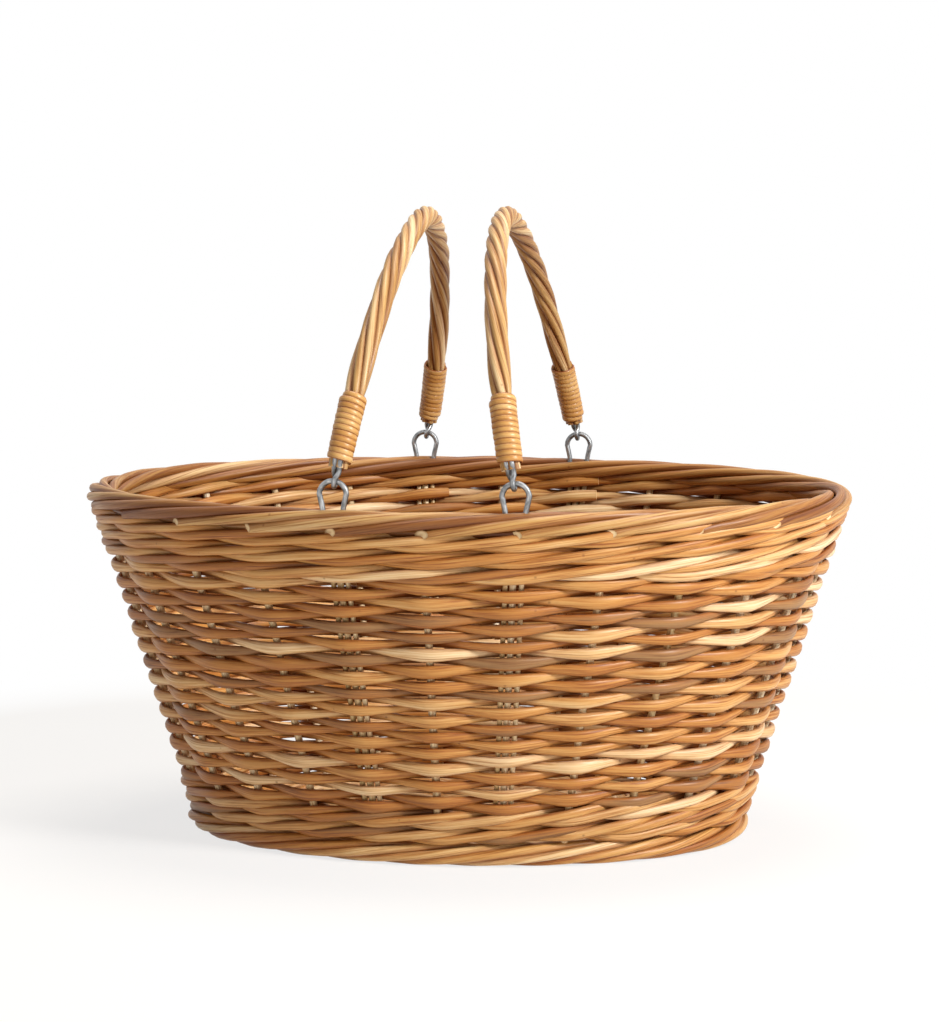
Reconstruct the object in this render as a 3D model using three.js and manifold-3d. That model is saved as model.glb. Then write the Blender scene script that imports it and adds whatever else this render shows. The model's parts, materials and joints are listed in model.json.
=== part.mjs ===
// Oval wicker shopping basket with two arch handles that fold outwards on wire rings.
// Millimetres, +Z up. The origin is under the middle of the foot, with X along the longer side.
// Side stakes stand in a foot ring, two rods chase each other in and out of the stakes to make
// the wall, thicker waling rods bind it below and above, and a rolled border caps the stakes.

import * as THREE from "three";
import { mergeVertices } from "three/addons/utils/BufferGeometryUtils.js";
import Module from "manifold-3d";

const wasm = await Module();
wasm.setup();

// Overall sizes of the body, over the outside of the rods
const RIM_LENGTH = 460;
const RIM_WIDTH = 348;
const FOOT_LENGTH = 342;
const FOOT_WIDTH = 230;
const BODY_HEIGHT = 210;

// Fit between pieces that touch on the real basket, and the wider one where a rod bends past a stake
const CLEARANCE = 0.3;
const WEAVE_CLEARANCE = 0.42;

// Side stakes, and the thinner bye-stakes that stand beside the four stakes under the rings
const STAKE_COUNT = 24;
const STAKE_DIAMETER = 5;
const BYE_STAKE_DIAMETER = 2.6;

// Woven rods of the wall
const ROD_DEPTH = 5.2;
const ROD_HEIGHT = 5;
const ROW_PITCH = 5.2;
const SIDING_ROWS = 24;
const LOWER_WALE_ROWS = 3;
const UPPER_WALE_ROWS = 4;
const WALE_OUTSIDE_COUNT = 2;
const WALE_INSIDE_COUNT = 1;

// Border round the mouth
const BORDER_WIDTH = 18;
const BORDER_HEIGHT = 15;
const BORDER_GROOVE_DEPTH = 5;
const BORDER_ROD_RELIEF = 0.8;
const BORDER_ROD_COUNT = 3;
const BORDER_TWISTS = 8;

// Foot ring under the stakes
const FOOT_RING_WIDTH = 16;
const FOOT_RING_HEIGHT = 14;
const FOOT_GROOVE_DEPTH = 6;
const FOOT_TREAD_WIDTH = 9;

// Woven oval base with its sticks
const BASE_THICKNESS = 12;
const BASE_UNDERSIDE = 1.5;
const BASE_RIDGE_PITCH = 30;
const BASE_RIDGE_DEPTH = 1.2;
const LONG_STICK_COUNT = 2;
const LONG_STICK_DIAMETER = 4.4;
const LONG_STICK_SPACING = 6;
const CROSS_STICK_COUNT = 5;
const CROSS_STICK_DIAMETER = 7;
const CROSS_STICK_SPACING = 42;

// Wire rings on the border, and the wire eyes of the handles that hook round them
const RING_WIRE = 2.8;
const RING_RADIUS = 7.5;
const RING_LEG_SPREAD = 11.2;
const RING_LEG_DEPTH = 9.5;
const RING_LEG_STRAIGHT = 0.6;
const HINGE_ABOVE_RIM = 8;
const EYE_WIRE = 2.4;
const EYE_LEG_DEPTH = 12;

// Arch handles: a rope of twisted rods, bound with cane at each end
const HANDLE_REACH = 153;
const HANDLE_ROUNDNESS = 1.8;
const HANDLE_DIAMETER = 12.8;
const HANDLE_BUTT = 15;
const HANDLE_NECK_DIAMETER = 10;
const HANDLE_STRANDS = 5;
const HANDLE_STRAND_RELIEF = 0.9;
const HANDLE_TWISTS = 2;
const HANDLE_LEAN = 10;
const BARE_BUTT = 5;
const WRAP_LENGTH = 38;
const WRAP_TURNS = 11;
const CANE_WIDTH = 2.5;
const CANE_THICKNESS = 1.4;

// Facets
const ROD_SIDES = 5;
const STAKE_SIDES = 6;
const CROSS_STICK_SIDES = 8;
const WIRE_SIDES = 6;
const RING_STEPS = 48;
const ARC_STEPS = 12;
const HANDLE_STEPS = 40;
const WRAP_STEPS = 8;
const MEASURING_STEPS = 960;

// Finishes
const willow = new THREE.MeshStandardMaterial({ color: 0xc98a45, roughness: 0.55 });
const paleWillow = new THREE.MeshStandardMaterial({ color: 0xe0b674, roughness: 0.55 });
const darkWillow = new THREE.MeshStandardMaterial({ color: 0xa8692f, roughness: 0.6 });
const cane = new THREE.MeshStandardMaterial({ color: 0xd0984f, roughness: 0.45 });
const steelWire = new THREE.MeshStandardMaterial({ color: 0x8a8c8e, roughness: 0.45, metalness: 1 });

const basket = new THREE.Group();

function addPiece(parent, name, geometry, material) {
  const mesh = new THREE.Mesh(geometry, material);
  mesh.name = name;
  parent.add(mesh);
  return mesh;
}

// A solid through a row of rings with equal point counts, capped unless it closes on itself.
function loft(rings, closed = false) {
  const sides = rings[0].length;
  const count = rings.length;
  const corners = rings.flat();
  const index = [];
  const spans = closed ? count : count - 1;
  for (let span = 0; span < spans; span += 1) {
    const here = span * sides;
    const next = ((span + 1) % count) * sides;
    for (let side = 0; side < sides; side += 1) {
      const after = (side + 1) % sides;
      index.push(here + side, next + side, next + after);
      index.push(here + side, next + after, here + after);
    }
  }
  if (!closed) {
    const last = (count - 1) * sides;
    for (let side = 1; side < sides - 1; side += 1) {
      index.push(0, side, side + 1);
      index.push(last, last + side + 1, last + side);
    }
  }
  if (signedVolume(corners, index) < 0) {
    index.reverse();
  }
  const geometry = new THREE.BufferGeometry();
  geometry.setFromPoints(corners);
  geometry.setIndex(index);
  geometry.computeVertexNormals();
  return geometry;
}

// Six times the volume inside the triangles, below zero where they face inwards.
function signedVolume(corners, index) {
  let volume = 0;
  for (let at = 0; at < index.length; at += 3) {
    const normal = corners[index[at + 1]].clone().cross(corners[index[at + 2]]);
    volume += corners[index[at]].dot(normal);
  }
  return volume;
}

// The points of an ellipse section that lies on two axes through a centre.
function ellipseSection(centre, axisA, axisB, halfA, halfB, sides) {
  const points = [];
  for (let side = 0; side < sides; side += 1) {
    const angle = (side / sides) * 2 * Math.PI;
    const point = centre.clone();
    point.addScaledVector(axisA, halfA * Math.cos(angle));
    point.addScaledVector(axisB, halfB * Math.sin(angle));
    points.push(point);
  }
  return points;
}

// A round rod between two points.
function straightRod(from, to, diameter, sides) {
  const direction = to.clone().sub(from);
  const geometry = new THREE.CylinderGeometry(diameter / 2, diameter / 2, direction.length(), sides);
  const turn = new THREE.Quaternion();
  turn.setFromUnitVectors(new THREE.Vector3(0, 1, 0), direction.clone().normalize());
  geometry.applyQuaternion(turn);
  const middle = from.clone().lerp(to, 0.5);
  geometry.translate(middle.x, middle.y, middle.z);
  return geometry;
}

// Bent round wire through points that lie in one plane.
function planarWire(points, planeNormal, diameter, sides) {
  const rings = points.map((point, at) => {
    const before = points[Math.max(at - 1, 0)];
    const after = points[Math.min(at + 1, points.length - 1)];
    const along = after.clone().sub(before).normalize();
    const across = planeNormal.clone().cross(along);
    return ellipseSection(point, planeNormal, across, diameter / 2, diameter / 2, sides);
  });
  return loft(rings);
}

function toSolid(geometry) {
  const bare = geometry.clone();
  bare.deleteAttribute("normal");
  bare.deleteAttribute("uv");
  const merged = mergeVertices(bare);
  const vertProperties = new Float32Array(merged.attributes.position.array);
  const triVerts = new Uint32Array(merged.index.array);
  return new wasm.Manifold(new wasm.Mesh({ numProp: 3, vertProperties, triVerts }));
}

function toGeometry(solid) {
  const mesh = solid.getMesh();
  const result = new THREE.BufferGeometry();
  result.setAttribute("position", new THREE.BufferAttribute(new Float32Array(mesh.vertProperties), 3));
  result.setIndex(new THREE.BufferAttribute(new Uint32Array(mesh.triVerts), 1));
  result.computeVertexNormals();
  return result;
}

function cutAway(geometry, cutters) {
  let solid = toSolid(geometry);
  for (const cutter of cutters) {
    solid = solid.subtract(toSolid(cutter));
  }
  return toGeometry(solid);
}

// The part of a piece that lies inside an outline solid.
function trimTo(geometry, outline) {
  return toGeometry(toSolid(geometry).intersect(toSolid(outline)));
}

// The wall is ruled between the line of the stakes in the foot ring and in the border.
const BORDER_UNDERSIDE = BODY_HEIGHT - BORDER_HEIGHT;
const FOOT_SEAT = FOOT_RING_HEIGHT - FOOT_GROOVE_DEPTH / 2;
const RIM_SEAT = BORDER_UNDERSIDE + BORDER_GROOVE_DEPTH / 2;
const footOval = ovalCurve(FOOT_LENGTH - FOOT_RING_WIDTH, FOOT_WIDTH - FOOT_RING_WIDTH);
const rimOval = ovalCurve(RIM_LENGTH - BORDER_WIDTH, RIM_WIDTH - BORDER_WIDTH);

function ovalCurve(length, width) {
  const curve = new THREE.EllipseCurve(0, 0, length / 2, width / 2);
  curve.arcLengthDivisions = MEASURING_STEPS;
  return curve;
}

// A point of an oval, by its share of the way round from the +X end, with its outward direction.
function ovalFrame(curve, turn, height) {
  const share = ((turn % 1) + 1) % 1;
  const point = curve.getPointAt(share);
  const tangent = curve.getTangentAt(share);
  return {
    centre: new THREE.Vector3(point.x, point.y, height),
    along: new THREE.Vector3(tangent.x, tangent.y, 0),
    outward: new THREE.Vector3(tangent.y, -tangent.x, 0),
    up: new THREE.Vector3(0, 0, 1),
  };
}

function wallFrame(turn, height) {
  const low = ovalFrame(footOval, turn, FOOT_SEAT);
  const high = ovalFrame(rimOval, turn, RIM_SEAT);
  const share = (height - FOOT_SEAT) / (RIM_SEAT - FOOT_SEAT);
  const up = high.centre.clone().sub(low.centre).normalize();
  const along = low.along.clone().lerp(high.along, share).normalize();
  return {
    centre: low.centre.clone().lerp(high.centre, share),
    along,
    outward: along.clone().cross(up).normalize(),
    up,
  };
}

// A section swept round an oval. The section gives its [outward, up] points for each share of the turn.
function sweepRound(curve, height, section) {
  const rings = [];
  for (let step = 0; step < RING_STEPS; step += 1) {
    const turn = step / RING_STEPS;
    const frame = ovalFrame(curve, turn, height);
    rings.push(section(turn).map(([outward, up]) => {
      const point = frame.centre.clone();
      point.addScaledVector(frame.outward, outward);
      point.addScaledVector(frame.up, up);
      return point;
    }));
  }
  return loft(rings, true);
}

// Stakes: straight rods from the groove of the foot ring to the groove of the border.
const WALL_LEAN = (rimOval.xRadius - footOval.xRadius) / (RIM_SEAT - FOOT_SEAT);
const STAKE_END_ROOM = CLEARANCE + (WALL_LEAN * STAKE_DIAMETER) / 2;
const STAKE_BOTTOM = FOOT_RING_HEIGHT - FOOT_GROOVE_DEPTH + STAKE_END_ROOM;
const STAKE_TOP = BORDER_UNDERSIDE + BORDER_GROOVE_DEPTH - STAKE_END_ROOM;
const STAKE_ROOM = STAKE_DIAMETER * Math.hypot(1, WALL_LEAN) + 2 * CLEARANCE;
const FOOT_GROOVE_WIDTH = STAKE_ROOM + WALL_LEAN * FOOT_GROOVE_DEPTH;
const BORDER_GROOVE_WIDTH = STAKE_ROOM + WALL_LEAN * BORDER_GROOVE_DEPTH;

function stakeName(stake) {
  return `side_stake_${String(stake + 1).padStart(2, "0")}`;
}

function addStakes() {
  for (let stake = 0; stake < STAKE_COUNT; stake += 1) {
    const turn = stake / STAKE_COUNT;
    const from = wallFrame(turn, STAKE_BOTTOM).centre;
    const to = wallFrame(turn, STAKE_TOP).centre;
    addPiece(basket, stakeName(stake), straightRod(from, to, STAKE_DIAMETER, STAKE_SIDES), paleWillow);
  }
}

// The stakes beside the middle of the front and the back carry the rings.
const FRONT_STAKE = STAKE_COUNT * 0.75;
const BACK_STAKE = STAKE_COUNT * 0.25;
const RING_STAKES = {
  back_right: BACK_STAKE - 1,
  back_left: BACK_STAKE + 1,
  front_left: FRONT_STAKE - 1,
  front_right: FRONT_STAKE + 1,
};

// Rows of woven rods fill the wall from the foot ring to the border. A run that climbs takes one row
// more than its turns, and a rod outside a stake sits lower than one inside it, because the wall leans.
const WEAVE_OFFSET = STAKE_DIAMETER / 2 + ROD_DEPTH / 2 + WEAVE_CLEARANCE;
const WEAVE_DROP = (WEAVE_OFFSET * WALL_LEAN) / Math.hypot(1, WALL_LEAN) + CLEARANCE;
const WALL_ROOM = BORDER_UNDERSIDE - FOOT_RING_HEIGHT - 2 * WEAVE_DROP;
const WALE_RUNS = LOWER_WALE_ROWS + 1 + UPPER_WALE_ROWS + 1;
const WALE_PITCH = (WALL_ROOM - (SIDING_ROWS + 1) * ROW_PITCH) / WALE_RUNS;
const LOWER_WALE_START = FOOT_RING_HEIGHT + WEAVE_DROP + WALE_PITCH / 2;
const SIDING_START = LOWER_WALE_START + (LOWER_WALE_ROWS + 0.5) * WALE_PITCH + ROW_PITCH / 2;
const UPPER_WALE_START = SIDING_START + (SIDING_ROWS + 0.5) * ROW_PITCH + WALE_PITCH / 2;
const BYE_STAKE_TOP = BORDER_UNDERSIDE - STAKE_END_ROOM;

function addByeStakes() {
  const spacing = (STAKE_DIAMETER + BYE_STAKE_DIAMETER) / 2 + CLEARANCE;
  for (const [corner, stake] of Object.entries(RING_STAKES)) {
    for (const [side, sign] of [["a", -1], ["b", 1]]) {
      const low = wallFrame(stake / STAKE_COUNT, STAKE_BOTTOM);
      const high = wallFrame(stake / STAKE_COUNT, BYE_STAKE_TOP);
      const from = low.centre.clone().addScaledVector(high.along, sign * spacing);
      const to = high.centre.clone().addScaledVector(high.along, sign * spacing);
      const rod = straightRod(from, to, BYE_STAKE_DIAMETER, STAKE_SIDES);
      addPiece(basket, `bye_stake_${corner}_${side}`, rod, paleWillow);
    }
  }
}

// A rod woven round the stakes in one climbing run. passesOutside says on which side of each stake it goes.
function wovenRod(firstStake, firstHeight, risePerTurn, turns, passesOutside) {
  const rings = [];
  const steps = turns * STAKE_COUNT;
  for (let step = 0; step <= steps; step += 1) {
    const height = firstHeight + (risePerTurn * step) / STAKE_COUNT;
    const frame = wallFrame((firstStake + step) / STAKE_COUNT, height);
    const side = passesOutside(firstStake + step) ? 1 : -1;
    const centre = frame.centre.clone().addScaledVector(frame.outward, side * WEAVE_OFFSET);
    const halfDepth = ROD_DEPTH / 2;
    rings.push(ellipseSection(centre, frame.outward, frame.up, halfDepth, ROD_HEIGHT / 2, ROD_SIDES));
  }
  return loft(rings);
}

// Siding: two rods start on opposite sides and chase each other, in front of every second stake.
function addSiding() {
  const turns = SIDING_ROWS / 2;
  const rise = 2 * ROW_PITCH;
  const half = STAKE_COUNT / 2;
  const first = wovenRod(0, SIDING_START, rise, turns, (stake) => stake % 2 === 0);
  const second = wovenRod(half, SIDING_START, rise, turns, (stake) => stake % 2 === 1);
  addPiece(basket, "siding_rod_a", first, willow);
  addPiece(basket, "siding_rod_b", second, darkWillow);
}

// Waling: the rod passes in front of two stakes and behind one, and steps on by one stake each turn.
function addWale(name, firstHeight, rows) {
  const stroke = WALE_OUTSIDE_COUNT + WALE_INSIDE_COUNT;
  const passesOutside = (stake) => (stake + Math.floor(stake / STAKE_COUNT)) % stroke < WALE_OUTSIDE_COUNT;
  const rod = wovenRod(0, firstHeight, WALE_PITCH, rows, passesOutside);
  addPiece(basket, name, rod, willow);
}

// Foot ring: flat tread below, rounded sides, and a groove above for the feet of the stakes.
function addFootRing() {
  const tread = FOOT_TREAD_WIDTH / 2;
  const side = FOOT_RING_WIDTH / 2;
  const groove = FOOT_GROOVE_WIDTH / 2;
  const middle = FOOT_RING_HEIGHT / 2;
  const swell = middle / 2;
  const outline = [
    [tread, -middle], [side, -swell], [side, swell],
    [groove, middle], [groove, middle - FOOT_GROOVE_DEPTH],
    [-groove, middle - FOOT_GROOVE_DEPTH], [-groove, middle],
    [-side, swell], [-side, -swell], [-tread, -middle],
  ];
  addPiece(basket, "foot_ring", sweepRound(footOval, FOOT_RING_HEIGHT / 2, () => outline), darkWillow);
}

// Border: rods rolled round the rim, whose ridges run slowly round it, with a groove for the stake tops.
function borderOutline(turn) {
  const groove = BORDER_GROOVE_WIDTH / 2;
  const middle = BORDER_HEIGHT / 2;
  const groovePoints = [
    [-groove, -middle], [-groove, BORDER_GROOVE_DEPTH - middle],
    [groove, BORDER_GROOVE_DEPTH - middle], [groove, -middle],
  ];
  const lowest = -Math.PI / 4;
  const sweep = Math.PI - 2 * lowest;
  const roll = [];
  for (let step = 0; step < ARC_STEPS; step += 1) {
    const angle = lowest + (sweep * step) / (ARC_STEPS - 1);
    const ridge = Math.cos(BORDER_ROD_COUNT * angle + BORDER_TWISTS * turn * 2 * Math.PI);
    const inset = (BORDER_ROD_RELIEF / 2) * (1 - ridge);
    const outward = (BORDER_WIDTH / 2 - inset) * Math.cos(angle);
    roll.push([outward, (middle - inset) * Math.sin(angle)]);
  }
  return [...roll, ...groovePoints];
}

function addBorder() {
  const roll = sweepRound(rimOval, BODY_HEIGHT - BORDER_HEIGHT / 2, borderOutline);
  const sockets = [];
  for (const stake of Object.values(RING_STAKES)) {
    const place = ovalFrame(rimOval, stake / STAKE_COUNT, BODY_HEIGHT).centre;
    for (const sign of [-1, 1]) {
      const top = place.clone();
      top.x += (sign * RING_LEG_SPREAD) / 2;
      top.z += BORDER_HEIGHT;
      const bottom = top.clone();
      bottom.z = BODY_HEIGHT - RING_LEG_DEPTH - CLEARANCE;
      sockets.push(straightRod(bottom, top, RING_WIRE + 2 * CLEARANCE, WIRE_SIDES));
    }
  }
  addPiece(basket, "border", cutAway(roll, sockets), paleWillow);
}

// Base: a woven oval mat in ridges that follow its edge, over a lattice of sticks.
const BASE_TOP = BASE_UNDERSIDE + BASE_THICKNESS;
const BASE_MIDDLE = BASE_UNDERSIDE + BASE_THICKNESS / 2;
const BASE_HALF_LENGTH = FOOT_LENGTH / 2 - FOOT_RING_WIDTH - 2 * CLEARANCE;
const BASE_HALF_WIDTH = FOOT_WIDTH / 2 - FOOT_RING_WIDTH - 2 * CLEARANCE;

function baseRing(inset, height) {
  const points = [];
  const curve = ovalCurve(2 * (BASE_HALF_LENGTH - inset), 2 * (BASE_HALF_WIDTH - inset));
  for (let step = 0; step < RING_STEPS; step += 1) {
    const footPoint = footOval.getPointAt(step / RING_STEPS);
    const angle = Math.atan2(footPoint.y / footOval.yRadius, footPoint.x / footOval.xRadius);
    points.push(new THREE.Vector3(curve.xRadius * Math.cos(angle), curve.yRadius * Math.sin(angle), height));
  }
  return points;
}

function longStick(at, diameter) {
  const across = (at - (LONG_STICK_COUNT - 1) / 2) * LONG_STICK_SPACING;
  const from = new THREE.Vector3(-BASE_HALF_LENGTH, across, BASE_MIDDLE);
  const to = new THREE.Vector3(BASE_HALF_LENGTH, across, BASE_MIDDLE);
  return straightRod(from, to, diameter, STAKE_SIDES);
}

function crossStick(at, diameter) {
  const along = (at - (CROSS_STICK_COUNT - 1) / 2) * CROSS_STICK_SPACING;
  const from = new THREE.Vector3(along, -BASE_HALF_WIDTH, BASE_MIDDLE);
  const to = new THREE.Vector3(along, BASE_HALF_WIDTH, BASE_MIDDLE);
  return straightRod(from, to, diameter, CROSS_STICK_SIDES);
}

function addBase() {
  const ridges = Math.floor(BASE_HALF_WIDTH / BASE_RIDGE_PITCH);
  const rings = [];
  for (let ridge = ridges - 1; ridge >= 0; ridge -= 1) {
    rings.push(baseRing((ridge + 0.5) * BASE_RIDGE_PITCH, BASE_TOP));
    rings.push(baseRing(ridge * BASE_RIDGE_PITCH, BASE_TOP - BASE_RIDGE_DEPTH));
  }
  for (let ridge = 0; ridge < ridges; ridge += 1) {
    rings.push(baseRing(ridge * BASE_RIDGE_PITCH, BASE_UNDERSIDE + BASE_RIDGE_DEPTH));
    rings.push(baseRing((ridge + 0.5) * BASE_RIDGE_PITCH, BASE_UNDERSIDE));
  }
  const mat = loft(rings);
  const bores = [];
  const slitWidth = LONG_STICK_COUNT * LONG_STICK_SPACING;
  const slitHeight = LONG_STICK_DIAMETER + 2 * CLEARANCE;
  const slit = new THREE.BoxGeometry(2 * BASE_HALF_LENGTH, slitWidth, slitHeight);
  slit.translate(0, 0, BASE_MIDDLE);
  for (let at = 0; at < LONG_STICK_COUNT; at += 1) {
    bores.push(longStick(at, LONG_STICK_DIAMETER + 2 * CLEARANCE));
    const stick = trimTo(longStick(at, LONG_STICK_DIAMETER), mat);
    addPiece(basket, `base_long_stick_${at + 1}`, stick, darkWillow);
  }
  for (let at = 0; at < CROSS_STICK_COUNT; at += 1) {
    bores.push(crossStick(at, CROSS_STICK_DIAMETER + 2 * CLEARANCE));
    const stick = trimTo(cutAway(crossStick(at, CROSS_STICK_DIAMETER), [slit]), mat);
    addPiece(basket, `base_cross_stick_${at + 1}`, stick, darkWillow);
  }
  addPiece(basket, "base_mat", cutAway(mat, bores), willow);
}

// Rings: a wire horseshoe that stands on the border. Its legs draw in a little, then go straight down.
const HINGE_HEIGHT = BODY_HEIGHT + HINGE_ABOVE_RIM;
const RING_PLACE = ovalFrame(rimOval, RING_STAKES.back_right / STAKE_COUNT, HINGE_HEIGHT).centre;

function ringWirePoints() {
  const legAside = RING_LEG_SPREAD / 2;
  const legTop = RING_LEG_STRAIGHT - HINGE_ABOVE_RIM;
  const legEnd = -(HINGE_ABOVE_RIM + RING_LEG_DEPTH);
  const points = [new THREE.Vector3(legAside, 0, legEnd), new THREE.Vector3(legAside, 0, legTop)];
  for (let step = 0; step <= ARC_STEPS; step += 1) {
    const angle = (Math.PI * step) / ARC_STEPS;
    points.push(new THREE.Vector3(RING_RADIUS * Math.cos(angle), 0, RING_RADIUS * Math.sin(angle)));
  }
  points.push(new THREE.Vector3(-legAside, 0, legTop), new THREE.Vector3(-legAside, 0, legEnd));
  return points;
}

function addRings() {
  for (const [corner, stake] of Object.entries(RING_STAKES)) {
    const wire = planarWire(ringWirePoints(), new THREE.Vector3(0, 1, 0), RING_WIRE, WIRE_SIDES);
    const ring = addPiece(basket, `handle_ring_${corner}`, wire, steelWire);
    ring.position.copy(ovalFrame(rimOval, stake / STAKE_COUNT, HINGE_HEIGHT).centre);
  }
}

// The line of a handle, in its own plane: Y across, Z up from the hinge axis.
class HandleCurve extends THREE.Curve {
  getPoint(share, target = new THREE.Vector3()) {
    const lowest = Math.asin((HANDLE_BUTT / HANDLE_REACH) ** (HANDLE_ROUNDNESS / 2));
    const angle = lowest + share * (Math.PI - 2 * lowest);
    const power = 2 / HANDLE_ROUNDNESS;
    const across = Math.sign(Math.cos(angle)) * Math.abs(Math.cos(angle)) ** power;
    return target.set(0, RING_PLACE.y * across, HANDLE_REACH * Math.sin(angle) ** power);
  }
}

const handleCurve = new HandleCurve();
handleCurve.arcLengthDivisions = MEASURING_STEPS;
const HANDLE_LENGTH = handleCurve.getLength();
const sideways = new THREE.Vector3(1, 0, 0);

function handleFrame(distance) {
  const share = distance / HANDLE_LENGTH;
  const tangent = handleCurve.getTangentAt(share);
  return { centre: handleCurve.getPointAt(share), across: sideways.clone().cross(tangent) };
}

// Bow: twisted rods, drawn together into a round neck under the cane at each end.
function handleBow() {
  const rings = [];
  const neckEnd = BARE_BUTT + WRAP_LENGTH;
  const shoulderEnd = neckEnd + HANDLE_DIAMETER;
  for (let step = 0; step <= HANDLE_STEPS; step += 1) {
    const distance = (step / HANDLE_STEPS) * HANDLE_LENGTH;
    const frame = handleFrame(distance);
    const fromEnd = Math.min(distance, HANDLE_LENGTH - distance);
    const open = THREE.MathUtils.smoothstep(fromEnd, neckEnd, shoulderEnd);
    const radius = THREE.MathUtils.lerp(HANDLE_NECK_DIAMETER, HANDLE_DIAMETER, open) / 2;
    const twist = (HANDLE_TWISTS * 2 * Math.PI * distance) / HANDLE_LENGTH;
    const points = [];
    for (let side = 0; side < 2 * HANDLE_STRANDS; side += 1) {
      const angle = twist + (side / HANDLE_STRANDS) * Math.PI;
      const reach = radius - (side % 2) * HANDLE_STRAND_RELIEF * open;
      const point = frame.centre.clone();
      point.addScaledVector(sideways, reach * Math.cos(angle));
      point.addScaledVector(frame.across, reach * Math.sin(angle));
      points.push(point);
    }
    rings.push(points);
  }
  return loft(rings);
}

// Wrap: one length of cane wound round the neck, starting just above the butt.
function wrapCane() {
  const rings = [];
  const centres = [];
  const steps = WRAP_TURNS * WRAP_STEPS;
  const inner = HANDLE_NECK_DIAMETER / 2 + CLEARANCE + CANE_THICKNESS / 2;
  const radius = inner / Math.cos(Math.PI / WRAP_STEPS);
  const start = BARE_BUTT + CANE_WIDTH / 2;
  const climb = WRAP_LENGTH - CANE_WIDTH;
  for (let step = 0; step <= steps; step += 1) {
    const frame = handleFrame(start + (climb * step) / steps);
    const angle = (step / WRAP_STEPS) * 2 * Math.PI;
    const radial = sideways.clone().multiplyScalar(Math.cos(angle));
    radial.addScaledVector(frame.across, Math.sin(angle));
    const centre = frame.centre.clone().addScaledVector(radial, radius);
    const along = frame.across.clone().cross(sideways);
    centres.push(centre);
    rings.push(ellipseSection(centre, radial, along, CANE_THICKNESS / 2, CANE_WIDTH / 2, ROD_SIDES));
  }
  let leastGap = Infinity;
  for (let step = WRAP_STEPS; step <= steps; step += 1) {
    const apart = centres[step].distanceTo(centres[step - WRAP_STEPS]);
    leastGap = Math.min(leastGap, apart - CANE_WIDTH);
  }
  console.log(`least gap between the turns of a handle wrap: ${leastGap.toFixed(2)} mm`);
  return loft(rings);
}

// Eye: a wire staple hooked under the top of a ring, with its legs in the butt of the handle.
const EYE_RADIUS = (RING_WIRE + EYE_WIRE) / 2 + CLEARANCE;
const eyeCentre = new THREE.Vector3(0, RING_PLACE.y, RING_RADIUS);
const eyeAim = handleFrame(EYE_LEG_DEPTH / 2).centre.sub(eyeCentre).normalize();
const eyeAcross = sideways.clone().cross(eyeAim);
const EYE_LEG_END = handleCurve.getPointAt(0).distanceTo(eyeCentre) + EYE_LEG_DEPTH;

function eyeLegPoint(sign, distance) {
  const point = eyeCentre.clone().addScaledVector(eyeAcross, sign * EYE_RADIUS);
  return point.addScaledVector(eyeAim, distance);
}

function eyeWire() {
  const points = [eyeLegPoint(1, EYE_LEG_END)];
  for (let step = 0; step <= ARC_STEPS / 2; step += 1) {
    const angle = (Math.PI * step) / (ARC_STEPS / 2);
    const point = eyeCentre.clone().addScaledVector(eyeAcross, EYE_RADIUS * Math.cos(angle));
    points.push(point.addScaledVector(eyeAim, -EYE_RADIUS * Math.sin(angle)));
  }
  points.push(eyeLegPoint(-1, EYE_LEG_END));
  return planarWire(points, sideways, EYE_WIRE, WIRE_SIDES);
}

function eyeSockets() {
  const bore = EYE_WIRE + 2 * CLEARANCE;
  return [-1, 1].map((sign) => {
    return straightRod(eyeLegPoint(sign, 0), eyeLegPoint(sign, EYE_LEG_END + CLEARANCE), bore, WIRE_SIDES);
  });
}

// The front end of a handle mirrors its back end; a half turn about Z keeps the solid's handedness.
function facingFront(geometry) {
  return geometry.clone().rotateZ(Math.PI);
}

function addHandle(side, sign) {
  const handle = new THREE.Group();
  handle.position.set(sign * RING_PLACE.x, 0, HINGE_HEIGHT);
  handle.rotation.y = THREE.MathUtils.degToRad(-sign * HANDLE_LEAN);
  basket.add(handle);
  const sockets = eyeSockets();
  const bow = cutAway(handleBow(), [...sockets, ...sockets.map(facingFront)]);
  const wrap = wrapCane();
  const eye = eyeWire();
  addPiece(handle, `${side}_handle_bow`, bow, paleWillow);
  addPiece(handle, `${side}_handle_wrap_back`, wrap, cane);
  addPiece(handle, `${side}_handle_wrap_front`, facingFront(wrap), cane);
  addPiece(handle, `${side}_handle_eye_back`, eye, steelWire);
  addPiece(handle, `${side}_handle_eye_front`, facingFront(eye), steelWire);
}

addFootRing();
addBase();
addStakes();
addByeStakes();
addWale("lower_wale", LOWER_WALE_START, LOWER_WALE_ROWS);
addSiding();
addWale("upper_wale", UPPER_WALE_START, UPPER_WALE_ROWS);
addBorder();
addRings();
addHandle("left", -1);
addHandle("right", 1);

export default basket;
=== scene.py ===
"""Looks of an oval wicker shopping basket with two arch handles that fold on wire rings.

Each willow rod, turn of cane and bend of wire is a tube of its own, laid out in millimetres
round the fixed frame, and it rides on the body that the real piece belongs to.
"""

import json
import math

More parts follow.
